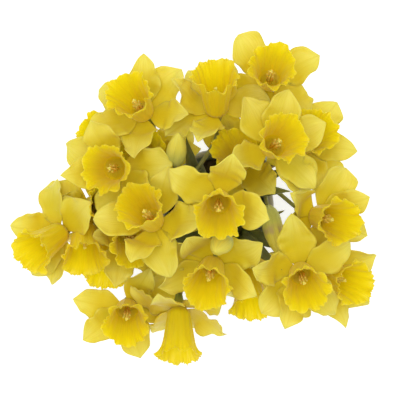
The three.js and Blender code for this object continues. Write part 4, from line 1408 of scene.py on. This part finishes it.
def stem_bend(start, names, corners):
    """The bend that a packed stem took: the one whose rings of corners are the node's own."""
    best, most = None, 0
    for bend in STEM_TRIES:
        if len(names) == 1 and (bend[2] or bend[3]):
            continue
        curves, _ = umbel_paths(start, names, bend)
        count = 0
        for path, radius, steps in curves:
            for k in range(1, steps):
                middle = np.array(on_curve(path, k / steps))
                gaps = np.linalg.norm(corners - middle, axis=1)
                count += int((np.abs(gaps - radius) < RING_SLACK).sum())
        if count > most:
            best, most = bend, count
    if best is None:
        raise RuntimeError("the stem of %s was not found in its node" % (names,))
    return best


def curve_tube(path, radius):
    """A round tube along a cubic curve, as a mesh in metres."""
    deselect()
    bpy.ops.curve.primitive_bezier_curve_add()
    made = bpy.context.object
    first, last = made.data.splines[0].bezier_points
    for point, place, before, after, size in ((first, path[0], path[0], path[1], 1.0),
                                              (last, path[3], path[2], path[3], STEM_TAPER)):
        point.handle_left_type = point.handle_right_type = "FREE"
        point.co = place * MM
        point.handle_left = before * MM
        point.handle_right = after * MM
        point.radius = size
    made.data.resolution_u = CURVE_STEPS
    made.data.bevel_depth = radius * MM
    made.data.bevel_resolution = CURVE_BEVEL
    made.data.use_fill_caps = True
    choose(made)
    bpy.ops.object.convert(target="MESH")
    return bpy.context.object


def facing_matrix(place, heading):
    """A frame at a place in millimetres, with +Z along a heading."""
    return Matrix.Translation(place) @ heading.to_track_quat("Z", "Y").to_matrix().to_4x4()


# Ovaries: their blank, their radius by height in millimetres, and how far the three lobes stand out
OVARY_SIDES = 18
OVARY_RINGS = 8
OVARY_OUTLINE = (
    (0, 0.15, 0.45, 0.7, 0.9, 1),
    (1.5, 2.0, OVARY_RADIUS, OVARY_RADIUS, 2.7, TUBE_FOOT),
)
OVARY_RELIEF = 0.05


def ovary_shape(angle, level):
    """A three-lobed ovary between a stalk and its floral tube."""
    part = np.minimum(level / OVARY_RINGS, 1)
    radius = np.interp(part, *OVARY_OUTLINE)
    return radius * (1 + OVARY_RELIEF * np.cos(3 * angle)), OVARY_LENGTH * part


# Spathes in millimetres: their blank, their size, how far round the fork they roll and open, how pointed
# and how full they are, and how many tints they have
SPATHE_ACROSS = 10
SPATHE_ALONG = 14
SPATHE_RADIUS = 3.1
SPATHE_SUNK = 4
SPATHE_THICKNESS = 0.3
SPATHE_ROLL = 2.6
SPATHE_OPENING = 1.7
SPATHE_SPREAD = 1.1
SPATHE_POINT = 2.6
SPATHE_LEAST_WIDTH = 0.02
SPATHE_TINTS = 89


class DAFFODIL_OT_stems(bpy.types.Operator):
    """Makes the flower stems, the stalks that fork from them, the ovaries and the papery spathes."""

    bl_idname = "daffodil.stems"
    bl_label = "Stems"

    def execute(self, context):
        look = context.scene.daffodil_foliage
        green = shared_material("flower stem", stem_material)
        paper = leafy("papery spathe", look.paper, PALE_PAPER, roughness=0.7, amount=0.8)
        ovary = turned_blank("ovary blank", OVARY_SIDES, OVARY_RINGS, True)
        blade = grid_blank("spathe blank", SPATHE_ACROSS, SPATHE_ALONG)
        flat = corners_of(blade.data)
        v, u = flat[:, 0], flat[:, 1]
        for bulb, (x, y) in BULBS.items():
            node = "shoot_%d" % bulb
            corners = node_corners(node)
            tubes, spathes = [], []
            for i, names in enumerate(UMBELS[bulb]):
                turn = 2 * math.pi * i / len(UMBELS[bulb]) + STEM_START_TURN
                start = Vector((x + STEM_RING * math.cos(turn), y + STEM_RING * math.sin(turn),
                                NECK_TOP - STEM_SUNK))
                curves, fork = umbel_paths(start, names, stem_bend(start, names, corners))
                for path, radius, _ in curves:
                    tubes.append(curve_tube(path, radius))
                if fork:
                    spathes.append(self.spathe(blade, u, v, fork, seed_of("spathes", bulb, i)))
                for name in names:
                    foot, facing, swells = head_of(name)
                    if swells:
                        swelling, _, _ = turned(ovary, "ovary", ovary_shape)
                        stand(swelling, facing_matrix(foot, facing))
                        tubes.append(swelling)
            stems = join(tubes, "stems_%d" % bulb)
            face_outwards(stems)
            hand_over(stems, green, "shoot", node)
            sheaths = join(spathes, "spathes_%d" % bulb)
            face_outwards(sheaths, merge=MERGE)
            thicken(sheaths, SPATHE_THICKNESS * MM, 0)
            hand_over(sheaths, paper, "shoot", node)
        bpy.data.objects.remove(ovary)
        bpy.data.objects.remove(blade)
        return {"FINISHED"}

    def spathe(self, blank, u, v, fork, seed):
        """One dry spathe, rolled round the fork and open above it."""
        number = draws(seed)
        length = drawn(number, low=20, spread=6)
        wrap = (SPATHE_ROLL - SPATHE_OPENING * u ** 0.7) * v
        width = (1 - u ** SPATHE_POINT) * (0.9 + 0.5 * np.sin(u * math.pi)) + SPATHE_LEAST_WIDTH
        spread = SPATHE_RADIUS * (1 + SPATHE_SPREAD * u ** 1.5)
        turn = 2 * math.pi * next(number) + wrap * width
        points = np.stack([spread * np.cos(turn), spread * np.sin(turn), length * u - SPATHE_SUNK], 1)
        piece = copy_of(blank, "spathe")
        set_corners(piece.data, carried(facing_matrix(*fork), points) * MM)
        mark_grain(piece.data, v, u, (seed % SPATHE_TINTS) / SPATHE_TINTS)
        return piece


# Leaves and necks: their blanks, the spread of a leaf's twist in degrees, and in millimetres its ripples
# and the neck's slimness, folds and uneven top
LEAF_ACROSS = 8
LEAF_ALONG = 40
LEAF_TWIST = 50
LEAF_RIPPLE = 0.3
NECK_SIDES = 32
NECK_RINGS = 10
NECK_SLIMMER = 0.35
NECK_FOLD = 0.18
NECK_TOP_WAVE = 0.9


def neck_shape(bulb):
    """The outside of the sheath that leaves and stems rise from, by angle and ring."""
    foot = BULB_TOP - NOSE_BORE_DEPTH + SEAT_GAP

    def shape(angle, level):
        part = np.minimum(level / NECK_RINGS, 1)
        fold = NECK_FOLD * np.sin(3 * angle + 5 * part + bulb)
        top = NECK_TOP_WAVE * np.sin(2 * angle + bulb) * part ** 3
        return NECK_RADIUS - NECK_SLIMMER + fold, foot + (NECK_TOP - foot) * part + top

    return shape


class DAFFODIL_OT_leaves(bpy.types.Operator):
    """Makes the strap leaves and the pale neck that they rise from."""

    bl_idname = "daffodil.leaves"
    bl_label = "Leaves"

    def execute(self, context):
        look = context.scene.daffodil_foliage
        green = leafy("strap leaf", look.leaf, LEAF_WAX, roughness=0.42, amount=0.6)
        pale = leafy("leaf sheath", look.sheath, PALE_SHEATH, roughness=0.5, amount=0.5)
        blade = grid_blank("leaf blank", LEAF_ACROSS, LEAF_ALONG)
        flat = corners_of(blade.data)
        v, u = flat[:, 0], flat[:, 1]
        neck = turned_blank("neck blank", NECK_SIDES, NECK_RINGS, True)
        for bulb, (x, y) in BULBS.items():
            node = "shoot_%d" % bulb
            corners = node_corners(node)
            straps = []
            for i, (turn, size) in enumerate(LEAVES[bulb]):
                strap = self.strap(blade, u, v, bulb, i, turn, size, corners)
                if strap:
                    straps.append(strap)
            leaves = join(straps, "leaves_%d" % bulb)
            face_outwards(leaves, merge=MERGE)
            thicken(leaves, look.leaf_thickness, 0)
            hand_over(leaves, green, "shoot", node)
            stalk, angle, level = turned(neck, "neck_%d" % bulb, neck_shape(bulb))
            stand(stalk, Matrix.Translation((x, y, 0)))
            mark_grain(stalk.data, np.abs(angle) / math.pi * 2, level / NECK_RINGS, bulb / 5)
            face_outwards(stalk)
            stalk.data.name = stalk.name
            hand_over(stalk, pale, "shoot", node)
        bpy.data.objects.remove(blade)
        bpy.data.objects.remove(neck)
        return {"FINISHED"}

    def strap(self, blank, u, v, bulb, i, turn, size, corners):
        """One leaf as it settled, channelled along its rib, or None where it was left out."""
        look = bpy.context.scene.daffodil_foliage
        x, y = BULBS[bulb]
        number = draws(seed_of("leaves", bulb, i))
        angle = math.radians(turn)
        foot = np.array([x + LEAF_RING * math.cos(angle), y + LEAF_RING * math.sin(angle),
                         NECK_TOP - LEAF_SUNK])
        shape = {
            "turn": turn,
            "lean": drawn(number, low=30, spread=25),
            "width": look.leaf_width / MM,
            "length": look.leaf_length / MM * size,
            "twist": LEAF_TWIST * (next(number) - 0.5),
        }
        bent = settled(shape, LEAF_TRIES, leaf_places, corners - foot, LEAF_STATIONS, PACKED_LEAF)
        if bent is None:
            return None
        keel = rib_groove(u, v, depth=0.5, width=0.2, fade=0.5)
        ripples = LEAF_RIPPLE * v * v * np.sin(9 * u + 5 * next(number))
        piece = copy_of(blank, "strap")
        set_corners(piece.data, (leaf_places(bent, u, v, keel + ripples) + foot) * MM)
        mark_grain(piece.data, v, u * 2, (bulb * 4 + i) / 17)
        return piece


# Bulbs: their blank with the rings inside the nose, their outline by height, how far its corners are
# softened, and the ribs and the torn nose in millimetres and parts of the radius
BULB_SIDES = 48
BULB_RINGS = 22
NOSE_RINGS = 4
BULB_OUTLINE = ((0, 0.1, 0.38, 0.66, 0.86, 1), (0.35, 0.72, 1, 0.9, 0.62, 0.56))
OUTLINE_SOFTNESS = 0.06
BULB_RIBS = 14
RIB_HEIGHT = 0.012
TORN_NOSE = 0.9
NOSE_EASE = 0.3


def bulb_shape(bulb):
    """The outside of a bulb and of the hole in its nose, by angle and ring."""
    shifts = (-OUTLINE_SOFTNESS, 0, OUTLINE_SOFTNESS)

    def shape(angle, level):
        part = np.minimum(level / BULB_RINGS, 1)
        smooth = sum(np.interp(np.clip(part + shift, 0, 1), *BULB_OUTLINE) for shift in shifts) / 3
        ribs = RIB_HEIGHT * np.sin(BULB_RIBS * angle + bulb)
        ribs = ribs + RIB_HEIGHT * np.sin(5 * angle + 7 * part + bulb)
        radius = BULB_RADIUS * smooth * (1 + ribs)
        inside = np.clip(level - BULB_RINGS, 0, NOSE_RINGS)
        torn = TORN_NOSE * np.sin(4 * angle + 2 * bulb) * part ** 8
        height = BULB_TOP - BULB_HEIGHT + BULB_HEIGHT * part + torn - inside ** 1.5
        return np.where(inside > 0, NOSE_BORE + NOSE_EASE, radius), height

    return shape


class DAFFODIL_OT_bulbs(bpy.types.Operator):
    """Makes the four bulbs with their ribbed papery skins."""

    bl_idname = "daffodil.bulbs"
    bl_label = "Bulbs"

    def execute(self, context):
        material = shared_material("bulb skin", bulb_material)
        blank = turned_blank("bulb blank", BULB_SIDES, BULB_RINGS + NOSE_RINGS, True)
        for bulb, (x, y) in BULBS.items():
            piece, _, _ = turned(blank, "papery_bulb_%d" % bulb, bulb_shape(bulb))
            stand(piece, Matrix.Translation((x, y, 0)))
            face_outwards(piece)
            piece.data.name = piece.name
            hand_over(piece, material, "bulb", "bulb_%d" % bulb)
        bpy.data.objects.remove(blank)
        return {"FINISHED"}


# Soil: its blank, its lumps by height, fineness and place in the noise, how far it lies under its level,
# the mound round each bulb with its spread, and the clods that lie on it
SOIL_SIDES = 72
SOIL_TOP_RINGS = 24
SOIL_LUMPS = ((1.3, 0.09, 1.7), (0.7, 0.3, 5.1))
SOIL_LOWER = 0.8
MOUND_HEIGHT = 1.2
MOUND_SPREAD = 260
CRUMBS = 150
CRUMB_MARGIN = 1.5
CRUMB_ROUGHNESS = 0.25
CRUMB_WAVES = (5.0, 7.0, 9.0)


def pot_slope(z):
    """The pot's outer radius under its rim at a height, in millimetres."""
    return POT_FOOT + (POT_RIM - RIM_PROUD - POT_FOOT) * z / POT_HEIGHT


def soil_height(x, y):
    """The lumpy top of the soil, raised a little round each bulb."""
    lump = 0.0
    for height, fine, place in SOIL_LUMPS:
        lump += height * noise.noise(Vector((x * fine, y * fine, place)))
    mound = sum(math.exp(-(((x - a) ** 2 + (y - b) ** 2) / MOUND_SPREAD)) for a, b in BULBS.values())
    return SOIL_TOP - SOIL_LOWER + lump + MOUND_HEIGHT * mound


def soil_shape(inner):
    """The soil in its pot, from the middle of its top out and down to its foot, by angle and ring."""

    def shape(angle, level):
        low = level >= SOIL_TOP_RINGS
        radius = inner * np.minimum((level + 1) / SOIL_TOP_RINGS, 1)
        radius = np.where(low, pot_slope(POT_FLOOR) - POT_WALL - SEAT_GAP, radius)
        height = [soil_height(r * math.cos(a), r * math.sin(a)) for r, a in zip(radius, angle)]
        return radius, np.where(low, POT_FLOOR + SEAT_GAP, height)

    return shape


class DAFFODIL_OT_soil(bpy.types.Operator):
    """Makes the lumpy soil and the crumbs that lie on it."""

    bl_idname = "daffodil.soil"
    bl_label = "Soil"

    def execute(self, context):
        material = shared_material("potting soil", soil_material)
        blank = turned_blank("soil blank", SOIL_SIDES, SOIL_TOP_RINGS + 2, True)
        inner = pot_slope(SOIL_TOP) - POT_WALL - SEAT_GAP
        piece, _, level = turned(blank, "compost", soil_shape(inner))
        places = corners_of(piece.data)
        centre = (np.hypot(places[:, 0], places[:, 1]) < RING_SLACK) & (level < 1)
        places[centre, 2] = soil_height(0, 0)
        set_corners(piece.data, places * MM)
        face_outwards(piece)
        hand_over(piece, material, "soil", "soil")
        crumbs = self.crumbs(inner)
        hand_over(crumbs, material, "soil", "soil")
        bpy.data.objects.remove(blank)
        return {"FINISHED"}

    def crumbs(self, inner):
        """Small clods of soil, seeded over its top."""
        deselect()
        bpy.ops.mesh.primitive_ico_sphere_add(subdivisions=1, radius=1)
        blank = bpy.context.object
        clod = corners_of(blank.data)
        number = draws(seed_of("crumbs"))
        clods = []
        while len(clods) < CRUMBS:
            reach = (inner - CRUMB_MARGIN) * math.sqrt(next(number))
            turn = 2 * math.pi * next(number)
            x, y = reach * math.cos(turn), reach * math.sin(turn)
            size = 0.5 + 1.1 * next(number) ** 2
            wide, deep = drawn(number, low=0.7, spread=0.6), drawn(number, low=0.7, spread=0.6)
            stretch = np.array([wide, deep, drawn(number, low=0.6, spread=0.4)])
            if any(math.hypot(x - a, y - b) < BULB_RADIUS for a, b in BULBS.values()):
                continue
            piece = copy_of(blank, "clod")
            rough = 1 + CRUMB_ROUGHNESS * np.sin(clod @ np.array(CRUMB_WAVES) + len(clods))
            place = np.array([x, y, soil_height(x, y) + 0.3 * size])
            set_corners(piece.data, (clod * rough[:, None] * size * stretch + place) * MM)
            clods.append(piece)
        bpy.data.objects.remove(blank)
        return join(clods, "soil_crumbs")


# The pot: the sides of its blank, the throwing rings on its wall by depth, by turn to the millimetre and by
# step in millimetres, and the sides of the drill
POT_SIDES = 120
THROWING_DEPTH = 0.12
THROWING_TURN = 0.9
THROWING_STEP = 3
DRILL_SIDES = 32


def rounded(profile, steps=4):
    """A profile with its inner corners rounded, each by its own radius."""
    points = [profile[0][:2]]
    for before, corner, after in zip(profile, profile[1:], profile[2:]):
        place, radius = np.array(corner[:2], float), corner[2]
        if radius == 0:
            points.append(tuple(place))
            continue
        back, ahead = np.array(before[:2]) - place, np.array(after[:2]) - place
        start = place + back * min(0.5, radius / np.linalg.norm(back))
        end = place + ahead * min(0.5, radius / np.linalg.norm(ahead))
        for k in range(steps + 1):
            t = k / steps
            points.append(tuple(start * (1 - t) ** 2 + place * 2 * t * (1 - t) + end * t * t))
    points.append(profile[-1][:2])
    return points


def pot_profile():
    """The pot's outline from its foot up the wall, over the rim and down inside, as radius and height."""
    rim_foot = POT_HEIGHT - RIM_DEPTH
    wall = [(pot_slope(z) + THROWING_DEPTH * math.sin(z * THROWING_TURN), z, 0)
            for z in range(8, int(rim_foot) - 4, THROWING_STEP)]
    return rounded([
        (POT_FOOT - 3.5, 0, 0), (POT_FOOT - 0.4, 0, 1.2), (pot_slope(4), 4, 1), *wall,
        (pot_slope(rim_foot), rim_foot, 1.4), (POT_RIM - 0.7, rim_foot + 1.2, 1.2),
        (POT_RIM, POT_HEIGHT - 4, 2), (POT_RIM - 0.6, POT_HEIGHT, 2.2), (POT_RIM - 4.2, POT_HEIGHT, 2),
        (pot_slope(POT_HEIGHT - 7) - POT_WALL, POT_HEIGHT - 7, 2),
        (pot_slope(POT_HEIGHT / 2) - POT_WALL, POT_HEIGHT / 2, 0),
        (pot_slope(POT_FLOOR) - POT_WALL, POT_FLOOR, 3), (POT_FOOT - 12, POT_FLOOR, 0),
    ])


class DAFFODIL_OT_pot(bpy.types.Operator):
    """Makes the glazed pot with its rolled rim and drain holes."""

    bl_idname = "daffodil.pot"
    bl_label = "Pot"

    def execute(self, context):
        material = shared_material("grey green glaze", glaze_material)
        radii, heights = np.array(pot_profile()).T
        last = len(radii) - 1
        blank = turned_blank("pot blank", POT_SIDES, last, True)

        def shape(angle, level):
            ring = np.minimum(level, last)
            return radii[ring], heights[ring]

        pot, _, _ = turned(blank, "glazed_pot", shape)
        set_corners(pot.data, corners_of(pot.data) * MM)
        face_outwards(pot)
        for i in range(DRAIN_HOLES):
            self.drain(pot, 2 * math.pi * i / DRAIN_HOLES)
        hand_over(pot, material, "pot", "pot")
        bpy.data.objects.remove(blank)
        return {"FINISHED"}

    def drain(self, pot, turn):
        """Drills one drain hole through the pot's floor."""
        deselect()
        bpy.ops.mesh.primitive_cylinder_add(
            vertices=DRILL_SIDES, radius=DRAIN_RADIUS * MM, depth=4 * POT_FLOOR * MM,
            location=(DRAIN_RING * math.cos(turn) * MM, DRAIN_RING * math.sin(turn) * MM, 0))
        drill = bpy.context.object
        choose(pot)
        cut = pot.modifiers.new("Drain", "BOOLEAN")
        cut.operation = "DIFFERENCE"
        cut.object = drill
        bpy.ops.object.modifier_apply(modifier=cut.name)
        bpy.data.objects.remove(drill)


class DAFFODIL_OT_stage(bpy.types.Operator):
    """Sets the pale floor, the soft lights and the camera over the pot."""

    bl_idname = "daffodil.stage"
    bl_label = "Stage"

    def execute(self, context):
        look = context.scene.daffodil_stage
        deselect()
        bpy.ops.mesh.primitive_plane_add(size=FLOOR_WIDTH)
        floor = context.object
        floor.name = "pale_floor"
        material, _, shader = new_material("pale floor", roughness=0.9, specular=0.1)
        shader.inputs["Base Color"].default_value = (*look.floor, 1)
        shader.inputs["Emission Color"].default_value = (*look.floor, 1)
        shader.inputs["Emission Strength"].default_value = look.glow
        floor.data.materials.append(material)
        bpy.ops.object.light_add(type="AREA", location=LAMP_PLACE)
        lamp = context.object
        lamp.name = "soft_key"
        lamp.data.shape = "DISK"
        lamp.data.size = LAMP_WIDTH
        lamp.data.energy = look.lamp
        away = Vector(LAMP_PLACE) - Vector(LAMP_TARGET)
        lamp.rotation_euler = away.to_track_quat("Z", "Y").to_euler()
        world = context.scene.world or bpy.data.worlds.new("studio")
        context.scene.world = world
        world.use_nodes = True
        background = world.node_tree.nodes["Background"]
        background.inputs["Color"].default_value = (1, 1, 1, 1)
        background.inputs["Strength"].default_value = look.sky
        bpy.ops.object.camera_add(location=look.camera_place, rotation=(0, 0, 0))
        camera = context.object
        camera.name = "view_from_above"
        camera.data.sensor_width = FILM_WIDTH
        camera.data.lens = look.focal
        camera.data.clip_start = NEAREST_SEEN
        context.scene.camera = camera
        context.scene.view_settings.view_transform = "Standard"
        return {"FINISHED"}


class DAFFODIL_PT_panel(bpy.types.Panel):
    """Lists what the pot of daffodils is made of."""

    bl_idname = "DAFFODIL_PT_panel"
    bl_label = "Potted Daffodils"
    bl_space_type = "VIEW_3D"
    bl_region_type = "UI"
    bl_category = "Daffodils"

    def draw(self, context):
        for operator in OPERATORS:
            self.layout.operator(operator.bl_idname)
        for name, group in SETTINGS.items():
            box = self.layout.box()
            for key in group.__annotations__:
                box.prop(getattr(context.scene, name), key)


OPERATORS = (
    DAFFODIL_OT_stage, DAFFODIL_OT_pot, DAFFODIL_OT_soil, DAFFODIL_OT_bulbs, DAFFODIL_OT_leaves,
    DAFFODIL_OT_stems, DAFFODIL_OT_buds, DAFFODIL_OT_perianths, DAFFODIL_OT_trumpets, DAFFODIL_OT_stamens,
)
SETTINGS = {
    "daffodil_tepals": TepalSettings,
    "daffodil_trumpets": TrumpetSettings,
    "daffodil_foliage": FoliageSettings,
    "daffodil_pot": PotSettings,
    "daffodil_stage": StageSettings,
}


def register():
    """Adds the settings, the operators and the panel."""
    for name, group in SETTINGS.items():
        bpy.utils.register_class(group)
        setattr(bpy.types.Scene, name, bpy.props.PointerProperty(type=group))
    for operator in OPERATORS:
        bpy.utils.register_class(operator)
    bpy.utils.register_class(DAFFODIL_PT_panel)


def unregister():
    """Takes the panel, the operators and the settings away again."""
    bpy.utils.unregister_class(DAFFODIL_PT_panel)
    for operator in reversed(OPERATORS):
        bpy.utils.unregister_class(operator)
    for name, group in SETTINGS.items():
        delattr(bpy.types.Scene, name)
        bpy.utils.unregister_class(group)


def main():
    """Builds the stage and every piece."""
    register()
    bpy.ops.daffodil.stage()
    bpy.ops.daffodil.pot()
    bpy.ops.daffodil.soil()
    bpy.ops.daffodil.bulbs()
    bpy.ops.daffodil.leaves()
    bpy.ops.daffodil.stems()
    bpy.ops.daffodil.buds()
    bpy.ops.daffodil.perianths()
    bpy.ops.daffodil.trumpets()
    bpy.ops.daffodil.stamens()


if __name__ == "__main__":
    main()
